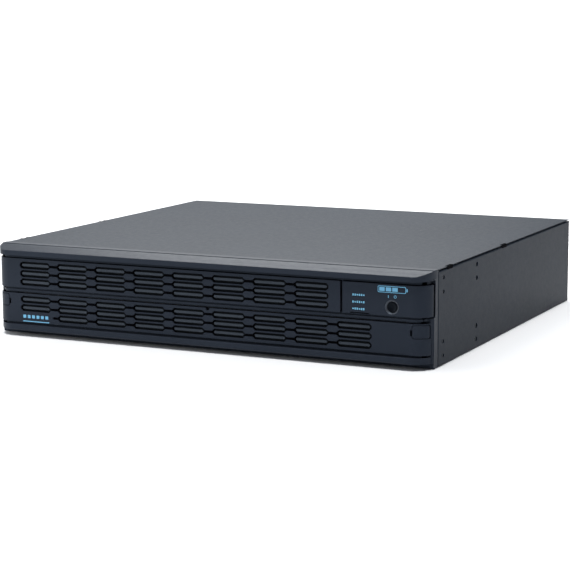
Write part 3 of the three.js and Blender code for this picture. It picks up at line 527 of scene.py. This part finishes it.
SHEET = 1.2 * MM
SHEET_BEND = 1.6 * MM
FLANGE = 9 * MM  # top edge of each side, folded inward under the lid
LID_SHEET = 0.6 * MM
LID_GAP = 0.8 * MM
LID_INSET = 0.25 * MM
LID_FLANGE_BOTTOM = 77 * MM
LID_FLANGE_HALF_W = 210 * MM
TRIM = 2.6 * MM  # dark closing strip at the rear edges
TRAY_TOP = LID_TOP - LID_SHEET - LID_GAP
NOTCH_LENGTH = 13.6 * MM
NOTCH_WIDTH = 3 * MM
NOTCH_BOTTOM = 82.65 * MM
SIDE_HOLES = ((12.6 * MM, 1.8 * MM), (97.2 * MM, 2.2 * MM))
SIDE_HOLE_Z = (8.7 * MM, 21.1 * MM, 64.9 * MM, 77.3 * MM)
CLIP_Y = [sum(c[1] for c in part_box(f"lid_clip_right_{i}")) / 2 for i in (1, 2)]


def edge_notches(x, y0, y1, depth):
    """Outline points along the right-hand edge, front to rear, with the clip notches cut in."""
    points = [(x, y0)]
    half = NOTCH_LENGTH / 2
    for y in CLIP_Y:
        points += [(x, y - half), (x - depth, y - half), (x - depth, y + half), (x, y + half)]
    return points + [(x, y1)]


def chassis_tray():
    """Folded floor, sides and flanges, with near-black strips that paint the shade under the lid's edge, and
    dark trims at the rear edges.
    """
    top = TRAY_TOP
    right = [(HALF_W - FLANGE, top), (HALF_W, top), (HALF_W, 0)]
    corners = right + [(-x, z) for x, z in reversed(right)]
    fold = Fold(corners, SHEET_BEND)
    y0, y1 = TRAY_LOW[1], TRAY_HIGH[1]
    middle = fold.length / 2
    floor_half = HALF_W - fold.radius
    bend = fold.radius * math.pi / 2

    def side_u(z, side):
        """Distance along the blank to a height on one side."""
        return middle + side * (floor_half + bend + z - fold.radius)

    outer = [(0, y0), (fold.length, y0), (fold.length, y1 - TRIM), (0, y1 - TRIM)]
    holes = []
    for side in (-1, 1):
        for dy, radius in SIDE_HOLES:
            for z in SIDE_HOLE_Z:
                holes.append(arc(side_u(z, side), SEAM_Y + dy, radius, 0, 345, 23))
        for y in CLIP_Y:
            low, high = sorted((side_u(NOTCH_BOTTOM, side), side_u(top, side) + side * NOTCH_WIDTH))
            holes.append(rounded_box(low, high, y - NOTCH_LENGTH / 2, y + NOTCH_LENGTH / 2, 0.4 * MM, 2))
    blank = bm_plate(outer, holes, 0, SHEET, 0.15 * MM)
    place(smooth(object_from("chassis_shell", fold.bend_blank(blank))), "chassis_tray")
    strips = []
    under_lid = (top + 0.05 * MM, LID_TOP - LID_SHEET - 0.05 * MM)
    for side in (-1, 1):
        # Near-black strip under the lid's edge: painted shade in the gap.
        lid_edge_shade = sorted((side * (HALF_W - FLANGE), side * (HALF_W - 2.9 * MM)))
        strips.append(bm_plate(rounded_box(*lid_edge_shade, *under_lid, 0.2 * MM, 1), [],
                               y0 + 2 * MM, y1 - 4 * MM, 0.1 * MM))
        trim = sorted((side * (HALF_W - 1.5 * MM), side * (HALF_W - 0.1 * MM)))
        strips.append(bm_plate(rounded_box(*trim, 0.3 * MM, top, 0.4 * MM, 2), [],
                               y1 - TRIM + 0.05 * MM, y1, 0.2 * MM))
    place(smooth(object_from("chassis_shade_strips", joined(*strips))), "chassis_tray", PAINTED_SHADE, stands_for=False)


def top_cover():
    """Flat lid with notches over the clips, and its flange behind the rear panel's top."""
    x, y0, y1 = HALF_W - LID_INSET, TRAY_LOW[1] + 1.2 * MM, REAR_Y
    right = edge_notches(x, y0, y1, NOTCH_WIDTH - LID_INSET)
    left = [(-px, py) for px, py in reversed(right)]
    plate = bm_plate(right + left, [], 0, LID_SHEET, 0.25 * MM, 2)
    for vert in plate.verts:
        vert.co = (vert.co.x, vert.co.z, LID_TOP - vert.co.y)
    bmesh.ops.recalc_face_normals(plate, faces=plate.faces)
    flange = (-LID_FLANGE_HALF_W, LID_FLANGE_HALF_W, LID_FLANGE_BOTTOM, LID_TOP - LID_SHEET + 0.1 * MM)
    rear = bm_plate(rounded_box(*flange, 0.5 * MM, 2), [], REAR_Y - 3.2 * MM, REAR_Y - 2 * MM, 0.2 * MM)
    place(smooth(object_from("lid_sheet", joined(plate, rear))), "top_cover")


def lid_clip(node):
    """Moulded clip over the lid's edge: a rounded block with a screwdriver slit."""
    low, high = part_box(node)
    right = low[0] > 0
    edge = high[0] + 0.25 * MM if right else low[0] - 0.25 * MM
    inner = low[0] if right else high[0]
    y0, y1 = low[1] - 0.3 * MM, high[1] + 0.3 * MM
    z0, z1 = low[2] - 0.4 * MM, high[2]
    middle, half, slit = (y0 + y1) / 2, 3.5 * MM, 0.4 * MM
    shell = rounded_box(y0, y1, z0, z1, 1.2 * MM, 4)
    top = [(middle + half, z1), (middle + half, z1 - slit), (middle - half, z1 - slit), (middle - half, z1)]
    corner = len(shell) // 4
    block = bm_plate(shell[:corner] + top + shell[corner:], [], *sorted((inner, edge)), 0.3 * MM, 2)
    for vert in block.verts:
        vert.co = (vert.co.y, vert.co.x, vert.co.z)
    bmesh.ops.recalc_face_normals(block, faces=block.faces)
    place(smooth(object_from(node + "_block", block)), node)


chassis_tray()
top_cover()
for name in CLIPS:
    lid_clip(name)


# ---- slotted front panels ----
def slotted_panel(name, node, outer, backing, columns, top_z, firsts):
    """Skin of a slotted panel: a front layer cut in chains over a near-black layer cut in slots, which paints
    the shade inside the openings, bars lightened with a painted highlight, and a filter.

    firsts holds the first column of each row, from the top."""
    rows = [(top_z - row * SLOT_PITCH_Z, first) for row, first in enumerate(firsts)]
    middles = [(SLOT_FIRST_X + column * SLOT_PITCH_X, z)
               for z, first in rows for column in range(first, columns)]
    chains = [chain_outline(first, columns, z) for z, first in rows]
    front = bm_plate(outer, chains, FACE_Y, FACE_Y + SKIN, 0.25 * MM)
    back = bm_plate(backing, [slot_outline(x, z) for x, z in middles], BACK_Y, FACE_Y + FACE_WALL, 0.15 * MM)
    place(smooth(object_from(name, wrap_round_corners(front))), node)
    # The near-black back layer paints the shade inside the slots.
    place(smooth(object_from(name + "_back", wrap_round_corners(back))), node, PAINTED_SHADE, stands_for=False)
    bars = [pill(x, z, BAR_LENGTH, BAR_HEIGHT) for x, z in middles]
    bar_parts = [bm_plate(bar, [], FACE_Y + 1.0 * MM, FACE_Y + 2.6 * MM, 0.6 * MM, 2) for bar in bars]
    # Bars in a lighter copy of the plastic: painted highlight.
    place(smooth(object_from(name + "_bars", joined(*bar_parts))), node, LIT_BAR, stands_for=False)
    reach = SLOT_LENGTH / 2 + 3 * MM
    left = SLOT_FIRST_X - reach
    right = SLOT_FIRST_X + (columns - 1) * SLOT_PITCH_X + reach
    filter_outline = rounded_box(left, right, top_z - 21 * MM, top_z + 5 * MM, 2 * MM)
    sheet = bm_plate(filter_outline, [], FACE_Y + 2.62 * MM, FACE_Y + 2.78 * MM, 0.03 * MM)
    place(object_from(name + "_filter", sheet), node, FOAM, stands_for=False)


def eased(x0, x1, z0, z1):
    """Outline of a face plate, set in from its opening on all sides."""
    return rounded_box(x0 + EASE, x1 - EASE, z0 + EASE, z1 - EASE, 0.6 * MM, 2)


def upper_grille():
    """Eight full columns of slots."""
    end = face_end(GRILLE_HIGH[1] + RIM_CUT)
    box = (-end, GRILLE_HIGH[0], GRILLE_LOW[2], GRILLE_HIGH[2])
    front = eased(-end + PULL_GAP, *box[1:])
    backing = rounded_box(*box, 0.6 * MM, 2)
    slotted_panel("grille_skin", "upper_grille", front, backing, 8, UPPER_SLOT_Z, (0, 0, 0))


def latch_notch(edge):
    """Opening for the right-hand latch tab, going up: open at the cover's end, slotted at its inner edge."""
    slack, finger, ease, radius = 0.35 * MM, 1.6 * MM, 0.4 * MM, 2 * MM
    left, z0, z1 = developed(LATCH_LOW[0]) - slack, LATCH_LOW[2] - slack, LATCH_HIGH[2] + slack
    slot0, slot1 = 30.2 * MM, 35.4 * MM
    slot = [(left, slot0), (left - finger + ease, slot0), (left - finger, slot0 + ease),
            (left - finger, slot1 - ease), (left - finger + ease, slot1), (left, slot1)]
    lower = arc(left + radius, z0 + radius, radius, 270, 180, 5)
    upper = arc(left + radius, z1 - radius, radius, 180, 90, 5)
    return [(edge, z0), *lower, *slot, *upper, (edge, z1)]


def cover_outline(ease, keyhole):
    """Outline of the battery cover, with a latch opening at both ends and the keyhole in its top edge."""
    edge = face_end(COVER_END) - ease
    corners = rounded_box(-edge, edge, COVER_LOW[2] + ease, COVER_HIGH[2] - ease, 0.6 * MM, 2)
    right = latch_notch(edge)
    left = [(-x, z) for x, z in reversed(right)]
    return corners[:3] + keyhole + corners[3:6] + left + corners[6:] + right


def battery_cover():
    """Nine columns of slots; the lowest row leaves its first place free for the marks."""
    x, radius = 7.7 * MM, 1.7 * MM
    top = COVER_HIGH[2] - EASE
    keyhole = [(x + radius, top), *arc(x, top - 0.6 * MM, radius, 20, -200, 10), (x - radius, top)]
    slotted_panel("cover_skin", "battery_cover", cover_outline(EASE, keyhole), cover_outline(0, []), 9,
                  LOWER_SLOT_Z, (0, 0, 1))


def cover_latches():
    """Finger tabs that follow the cover's wrapped ends."""
    for side, name in ((1, "cover_latch_right"), (-1, "cover_latch_left")):
        low, high = sorted((side * developed(LATCH_LOW[0]), side * (face_end(TAB_END) - 0.1 * MM)))
        outline = rounded_box(low, high, LATCH_LOW[2], LATCH_HIGH[2], 1.9 * MM)
        tab = wrap_round_corners(bm_plate(outline, [], FACE_Y, FACE_Y + 2.2 * MM, 0.45 * MM, 2))
        for vert in tab.verts:
            vert.co.y = min(vert.co.y, TAB_END)
        place(smooth(object_from(name + "_tab", tab)), name)


def lathe(profile, centre, steps=40):
    """Solid turned about an axis along Y; the profile runs (radius, y), starting and ending on the axis."""
    bm = bmesh.new()
    rings = []
    for radius, y in profile:
        if radius == 0:
            rings.append([bm.verts.new((centre[0], y, centre[2]))])
            continue
        turn = [2 * math.pi * i / steps for i in range(steps)]
        rings.append([bm.verts.new((centre[0] + radius * math.cos(a), y, centre[2] + radius * math.sin(a)))
                      for a in turn])
    for one, two in zip(rings, rings[1:]):
        for i in range(steps):
            j = (i + 1) % steps
            corners = [one[i % len(one)], one[j % len(one)], two[j % len(two)], two[i % len(two)]]
            bm.faces.new(list(dict.fromkeys(corners)))
    bmesh.ops.recalc_face_normals(bm, faces=bm.faces)
    return bm


BUTTON_CENTRE = (Vector(BUTTON_LOW) + Vector(BUTTON_HIGH)) / 2
BUTTON_RADIUS = 4.7 * MM
RING_RADIUS = 6.4 * MM
WINDOW_SIZE = (12 * MM, 2.4 * MM)


def control_panel():
    """Panel skin over a near-black layer that paints the shade inside its openings, with windows, a lift
    slot, and the ring round the button, whose lighter colour paints its highlight.
    """
    end = face_end(PANEL_HIGH[1] + RIM_CUT)
    box = (PANEL_LOW[0], end, PANEL_LOW[2], PANEL_HIGH[2])
    x, z = BUTTON_CENTRE.x, BUTTON_CENTRE.z
    bore = arc(x, z, RING_RADIUS, 0, 345, 23)
    windows = []
    for i in (1, 2, 3):
        low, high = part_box(f"status_window_{i}")
        middle = (low[0] + high[0]) / 2, (low[2] + high[2]) / 2
        windows.append(pill(*middle, *WINDOW_SIZE))
    lift_slot = rounded_box(147 * MM, 165 * MM, 46.7 * MM, 47.5 * MM, 0.3 * MM, 2)
    front = eased(PANEL_LOW[0], end - PULL_GAP, PANEL_LOW[2], PANEL_HIGH[2])
    wall = FACE_Y + FACE_WALL
    plate = bm_plate(front, [bore, lift_slot, *windows], FACE_Y, FACE_Y + SKIN, 0.3 * MM, 2)
    back = bm_plate(rounded_box(*box, 0.6 * MM, 2), [bore, *windows], BACK_Y, wall, 0.15 * MM)
    place(smooth(object_from("panel_skin", wrap_round_corners(plate))), "control_panel")
    # Near-black back layer: painted shade inside the panel's openings.
    back = smooth(object_from("panel_skin_back", wrap_round_corners(back)))
    place(back, "control_panel", PAINTED_SHADE, stands_for=False)
    reach, lip = RING_RADIUS + 0.02 * MM, BUTTON_RADIUS + 0.3 * MM
    profile = [(reach, FACE_Y + 0.3 * MM), (reach - 0.25 * MM, FACE_Y + 0.05 * MM),
               (lip + 0.15 * MM, FACE_Y + 0.95 * MM), (lip, FACE_Y + 1.2 * MM), (lip, wall), (reach, wall),
               (reach, FACE_Y + 0.3 * MM)]
    # The ring's lighter colour paints the highlight on the button's chamfer.
    ring = smooth(object_from("button_ring_painted_highlight", lathe(profile, BUTTON_CENTRE)))
    place(ring, "control_panel", LIT_RING, stands_for=False)


def power_button():
    """Round cap with a dished face, a collar behind the panel and a stem."""
    front = FACE_Y + 0.7 * MM
    r = BUTTON_RADIUS
    profile = [(0, front + 0.75 * MM), (1.2 * MM, front + 0.72 * MM), (2.4 * MM, front + 0.5 * MM),
               (3.4 * MM, front + 0.1 * MM), (3.7 * MM, front), (r - 0.4 * MM, front + 0.05 * MM),
               (r - 0.1 * MM, front + 0.25 * MM), (r, front + 0.6 * MM),
               (r, front + 2.5 * MM), (r + 1.6 * MM, front + 2.6 * MM), (r + 1.6 * MM, front + 3.2 * MM),
               (2.2 * MM, front + 3.4 * MM), (2.2 * MM, BUTTON_HIGH[1]), (0, BUTTON_HIGH[1])]
    place(smooth(object_from("power_button_cap", lathe(profile, BUTTON_CENTRE))), "power_button")


def status_windows():
    """Segmented light pipes behind a black mask, one row for each state."""
    for i in (1, 2, 3):
        node = f"status_window_{i}"
        low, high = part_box(node)
        x, z = (low[0] + high[0]) / 2, (low[2] + high[2]) / 2
        count, pitch, width = 6, 2 * MM, 1.35 * MM
        parts = []
        for k in range(count):
            cx = x + (k - (count - 1) / 2) * pitch
            half = (0.95 if (k + i) % 3 else 0.7) * MM
            segment = rounded_box(cx - width / 2, cx + width / 2, z - half, z + half, 0.3 * MM, 3)
            parts.append(bm_plate(segment, [], FACE_Y - 0.04 * MM, FACE_Y + 3 * MM, 0.12 * MM))
        pipe = rounded_box(x - 6.6 * MM, x + 6.6 * MM, z - 1.8 * MM, z + 1.8 * MM, 0.4 * MM, 2)
        parts.append(bm_plate(pipe, [], FACE_Y + 2.6 * MM, FACE_Y + 4 * MM, 0.15 * MM))
        stem = rounded_box(x - 2 * MM, x + 2 * MM, z - 1 * MM, z + 1 * MM, 0.3 * MM, 2)
        parts.append(bm_plate(stem, [], FACE_Y + 3.5 * MM, high[1], 0.15 * MM))
        place(smooth(object_from(node + "_pipe", joined(*parts))), node)
        mask = bm_plate(pill(x, z, 11.9 * MM, 2.3 * MM), [], FACE_Y + 0.12 * MM, FACE_Y + 1 * MM, 0.1 * MM)
        place(smooth(object_from(node + "_mask", mask)), "control_panel", stands_for=False)


def end_gap_strips():
    """Near-black strips in the gap between the rim and the ends of the upper panels, painting the shade in
    that gap.
    """
    end = PANEL_HIGH[1] + RIM_CUT
    for side, node in ((-1, "upper_grille"), (1, "control_panel")):
        low, high = sorted((side * (FACE_HALF_W - 2.7 * MM), side * (FACE_HALF_W - 0.15 * MM)))
        outline = rounded_box(low, high, PANEL_LOW[2], PANEL_HIGH[2], 0.3 * MM, 2)
        strip = bm_plate(outline, [], end + 0.05 * MM, end + 0.5 * MM, 0.05 * MM)
        place(smooth(object_from(node + "_end_strip", strip)), node, PAINTED_SHADE, stands_for=False)


upper_grille()
battery_cover()
end_gap_strips()
cover_latches()
control_panel()
power_button()
status_windows()


# ---- printed marks ----
def ink(name, outlines, node):
    """Thin printed marks lying on the front face."""
    front, back = FACE_Y - 0.06 * MM, FACE_Y + 0.05 * MM
    marks = [bm_plate(outer, holes, front, back, 0.01 * MM, 0) for outer, holes in outlines]
    place(object_from(name, joined(*marks)), node, INK, stands_for=False)


def panel_marks():
    """A battery-level symbol, and the plain on and off signs over the button."""
    x, z = BUTTON_CENTRE.x, 69.4 * MM
    half_l, half_h, line = 13 * MM, 2.9 * MM, 0.55 * MM
    inner_l, inner_h = half_l - line, half_h - line
    case = (rounded_box(x - half_l, x + half_l, z - half_h, z + half_h, 1.2 * MM),
            [rounded_box(x - inner_l, x + inner_l, z - inner_h, z + inner_h, 0.8 * MM)])
    end = x + half_l
    nub = (rounded_box(end + 0.3 * MM, end + 1.6 * MM, z - 1.3 * MM, z + 1.3 * MM, 0.4 * MM), [])
    levels = [(rounded_box(x + dx * MM, x + (dx + 5) * MM, z - 1.7 * MM, z + 1.7 * MM, 0.4 * MM), [])
              for dx in (-11.6, -5.6, 0.4)]
    sign_z = 63.2 * MM
    on = (rounded_box(x - 3.4 * MM, x - 2.9 * MM, sign_z - 1.2 * MM, sign_z + 1.2 * MM, 0.2 * MM), [])
    off_x = x + 3.1 * MM
    off = (arc(off_x, sign_z, 1.3 * MM, 0, 345, 23), [arc(off_x, sign_z, 0.85 * MM, 0, 345, 23)])
    ink("panel_marks", [case, nub, *levels, on, off], "control_panel")


def cover_marks():
    """An underline bar with a row of plain blocks over it, in the grille's free corner."""
    left, right = -189.5 * MM, -160.5 * MM
    bar = (rounded_box(left, right, 14.1 * MM, 15.0 * MM, 0.3 * MM), [])
    starts = [left + (0.4 + 4.9 * i) * MM for i in range(6)]
    blocks = [(rounded_box(x, x + 3.2 * MM, 17.6 * MM, 20.6 * MM, 0.5 * MM), []) for x in starts]
    ink("cover_marks", [bar, *blocks], "battery_cover")


panel_marks()
cover_marks()


# ---- rear panel ----
def option_cover_frame():
    """Near-black line in the gap round the option slot's cover, painting the shade in that gap."""
    low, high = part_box("option_slot_cover")
    reach = 0.7 * MM
    outer = rounded_box(low[0] - reach, high[0] + reach, low[2] - reach, high[2] + reach, 1 * MM, 3)
    inner = rounded_box(low[0] + reach, high[0] - reach, low[2] + reach, high[2] - reach, 0.5 * MM, 3)
    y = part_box("rear_panel")[1][1]
    frame_line = bm_plate(outer, [inner], y - 0.2 * MM, y + 0.15 * MM, 0.05 * MM)
    place(smooth(object_from("option_cover_gap", frame_line)), "rear_panel", PAINTED_SHADE, stands_for=False)


option_cover_frame()


# ---- fans ----
def ring_wire(centre, radius, y, wire, steps=48, sides=8):
    """A ring of round wire round an axis along Y."""
    bm = bmesh.new()
    loops = []
    for i in range(steps):
        a = 2 * math.pi * i / steps
        loop = []
        for k in range(sides):
            b = 2 * math.pi * k / sides
            r = radius + wire * math.cos(b)
            at = (centre[0] + r * math.cos(a), y + wire * math.sin(b), centre[2] + r * math.sin(a))
            loop.append(bm.verts.new(at))
        loops.append(loop)
    for i in range(steps):
        one, two = loops[i], loops[(i + 1) % steps]
        for k in range(sides):
            j = (k + 1) % sides
            bm.faces.new((one[k], one[j], two[j], two[k]))
    bmesh.ops.recalc_face_normals(bm, faces=bm.faces)
    return bm


def straight_wire(start, end, wire, sides=8):
    """Round wire between two points, closed at both ends."""
    start, end = Vector(start), Vector(end)
    bm = bmesh.new()
    turn = (end - start).to_track_quat("Z", "Y").to_matrix().to_4x4()
    matrix = Matrix.Translation((start + end) / 2) @ turn
    bmesh.ops.create_cone(bm, cap_ends=True, segments=sides, radius1=wire, radius2=wire,
                          depth=(end - start).length, matrix=matrix)
    return bm


def fan_guard(number):
    """Rings of wire on four arms, each held by a screw."""
    node = f"fan_guard_{number}"
    low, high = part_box(node)
    centre = [(a + b) / 2 for a, b in zip(low, high)]
    wire = 0.75 * MM
    y = high[1] - wire
    parts = [ring_wire(centre, radius * MM, y - 0.1 * MM, wire) for radius in (8, 14, 20, 26)]
    reach = 25 * MM
    for sx in (-1, 1):
        for sz in (-1, 1):
            end = (centre[0] + sx * reach, y, centre[2] + sz * reach)
            inner = (centre[0] + sx * 4.5 * MM, y, centre[2] + sz * 4.5 * MM)
            parts.append(straight_wire(inner, end, wire))
            back, front = high[1], low[1]
            profile = [(0, back - 0.2 * MM), (2.2 * MM, back - 0.1 * MM), (3.2 * MM, back - 0.6 * MM),
                       (3.4 * MM, front + 0.4 * MM), (3.2 * MM, front), (0, front)]
            parts.append(lathe(profile, end, 24))
    parts.append(ring_wire(centre, 5.5 * MM, y - 0.1 * MM, wire))
    place(smooth(object_from(node + "_wire", joined(*parts))), node)


def fan_rotor(number):
    """Hub with seven swept, twisted blades."""
    node = f"fan_rotor_{number}"
    low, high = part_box(node)
    centre = [(a + b) / 2 for a, b in zip(low, high)]
    hub = 13.8 * MM
    profile = [(0, low[1] + 0.6 * MM), (hub - 2 * MM, low[1] + 0.3 * MM), (hub - 0.4 * MM, low[1] + 0.8 * MM),
               (hub, low[1] + 1.6 * MM), (hub, high[1] - 1 * MM), (hub - 0.6 * MM, high[1] - 0.3 * MM),
               (2.6 * MM, high[1] - 0.2 * MM), (2.5 * MM, high[1] - 10 * MM), (0, high[1] - 10.2 * MM)]
    blades = bmesh.new()
    count, spans, chords = 7, 5, 6
    for i in range(count):
        grids = []
        for face in (0, 1):
            grid = []
            for s in range(spans + 1):
                t = s / spans
                radius = hub - 0.6 * MM + t * 13.2 * MM
                row = []
                for c in range(chords + 1):
                    w = c / chords - 0.5
                    sweep = 2 * math.pi * i / count + 0.16 * t * t + w * (0.78 - 0.12 * t)
                    rise = w * (11 - 3.5 * t) * MM + 1.2 * MM * math.cos(math.pi * w)
                    y = centre[1] + 1 * MM + rise + (face - 0.5) * 1.1 * MM
                    at = (centre[0] + radius * math.cos(sweep), y, centre[2] + radius * math.sin(sweep))
                    row.append(blades.verts.new(at))
                grid.append(row)
            grids.append(grid)
        front, back = grids
        for s in range(spans):
            for c in range(chords):
                for grid in grids:
                    blades.faces.new((grid[s][c], grid[s + 1][c], grid[s + 1][c + 1], grid[s][c + 1]))
            for c in (0, chords):
                blades.faces.new((front[s][c], front[s + 1][c], back[s + 1][c], back[s][c]))
        for c in range(chords):
            for s in (0, spans):
                blades.faces.new((front[s][c], front[s][c + 1], back[s][c + 1], back[s][c]))
    bmesh.ops.recalc_face_normals(blades, faces=blades.faces)
    place(smooth(object_from(node + "_impeller", joined(lathe(profile, centre), blades)), 40), node)


for number in (1, 2):
    fan_guard(number)
    fan_rotor(number)


# ---- stage ----
def floor():
    bpy.ops.mesh.primitive_plane_add(size=400, location=(0, 0, CAD_BOX[0][2]))
    plane = bpy.context.object
    plane.name = "floor"
    s = Shader("pale_floor")
    s.bsdf.inputs["Base Color"].default_value = (0.9, 0.9, 0.9, 1)
    s.bsdf.inputs["Roughness"].default_value = 0.9
    plane.data.materials.append(s.material)


def soft_light(name, place_at, target, size, power):
    """Rectangular area light aimed at a point."""
    data = bpy.data.lights.new(name, "AREA")
    data.shape = "RECTANGLE"
    data.size, data.size_y = size
    data.energy = power
    lamp = link(bpy.data.objects.new(name, data))
    lamp.location = place_at
    lamp.rotation_mode = "QUATERNION"
    lamp.rotation_quaternion = (Vector(target) - Vector(place_at)).to_track_quat("-Z", "Y")


def sky_light(strength, direction, spread):
    """Even, very soft light from overhead that keeps the floor pale out to the horizon."""
    data = bpy.data.lights.new("sky", "SUN")
    data.energy = strength
    data.angle = math.radians(spread)
    lamp = link(bpy.data.objects.new("sky", data))
    lamp.rotation_mode = "QUATERNION"
    lamp.rotation_quaternion = (-Vector(direction)).to_track_quat("-Z", "Y")


def world(brightness):
    """Studio walls: bright above, to the left and to the rear, dim and cooler elsewhere."""
    made = bpy.data.worlds.new("studio")
    bpy.context.scene.world = made
    made.use_nodes = True
    nodes, links = made.node_tree.nodes, made.node_tree.links
    background = nodes["Background"]
    tilt = nodes.new("ShaderNodeVectorMath")
    tilt.operation = "DOT_PRODUCT"
    tilt.inputs[1].default_value = (-1.0, 0.4, 0.9)
    links.new(nodes.new("ShaderNodeTexCoord").outputs["Generated"], tilt.inputs[0])
    walls = nodes.new("ShaderNodeValToRGB")
    walls.color_ramp.elements[0].color = (0.095, 0.11, 0.145, 1)
    walls.color_ramp.elements[0].position = 0.3
    walls.color_ramp.elements[1].color = (0.90, 0.95, 1, 1)
    links.new(tilt.outputs["Value"], walls.inputs["Fac"])
    links.new(walls.outputs["Color"], background.inputs["Color"])
    background.inputs["Strength"].default_value = brightness
    # Beyond the floor's edge a low view sees plain white, not the walls that light the object.
    plain, seen = nodes.new("ShaderNodeBackground"), nodes.new("ShaderNodeMixShader")
    plain.inputs["Color"].default_value = (1, 1, 1, 1)
    plain.inputs["Strength"].default_value = 1.6
    links.new(nodes.new("ShaderNodeLightPath").outputs["Is Camera Ray"], seen.inputs["Fac"])
    links.new(background.outputs["Background"], seen.inputs[1])
    links.new(plain.outputs["Background"], seen.inputs[2])
    links.new(seen.outputs["Shader"], nodes["World Output"].inputs["Surface"])


def camera():
    azimuth, elevation, roll = math.radians(25.56), math.radians(9.13), math.radians(-0.23)
    forward = Vector((-math.sin(azimuth) * math.cos(elevation), math.cos(azimuth) * math.cos(elevation),
                      -math.sin(elevation)))
    data = bpy.data.cameras.new("camera")
    data.sensor_width = 36
    data.lens = 115.1
    data.clip_end = 30
    view = link(bpy.data.objects.new("camera", data))
    view.location = (0.765, SEAM_Y - 1.4441, 0.3201)
    view.rotation_mode = "QUATERNION"
    view.rotation_quaternion = forward.to_track_quat("-Z", "Y") @ Quaternion((0, 0, 1), roll)
    bpy.context.scene.camera = view


floor()
world(0.85)
sky_light(2.7, (0.12, -0.25, 1), 25)
soft_light("rear", (-0.5, 0.9, 1.02), (0, -0.15, 0.05), (0.8, 0.7), 9.2)
soft_light("horizon", (-0.9, 1.8, 0.55), (0, 0, 0.08), (1.2, 0.5), 1.0)
soft_light("left", (-1.1, -1.1, 0.35), (-0.2, -0.2, 0.05), (0.7, 0.5), 5)
camera()
bpy.context.scene.view_settings.view_transform = "Standard"
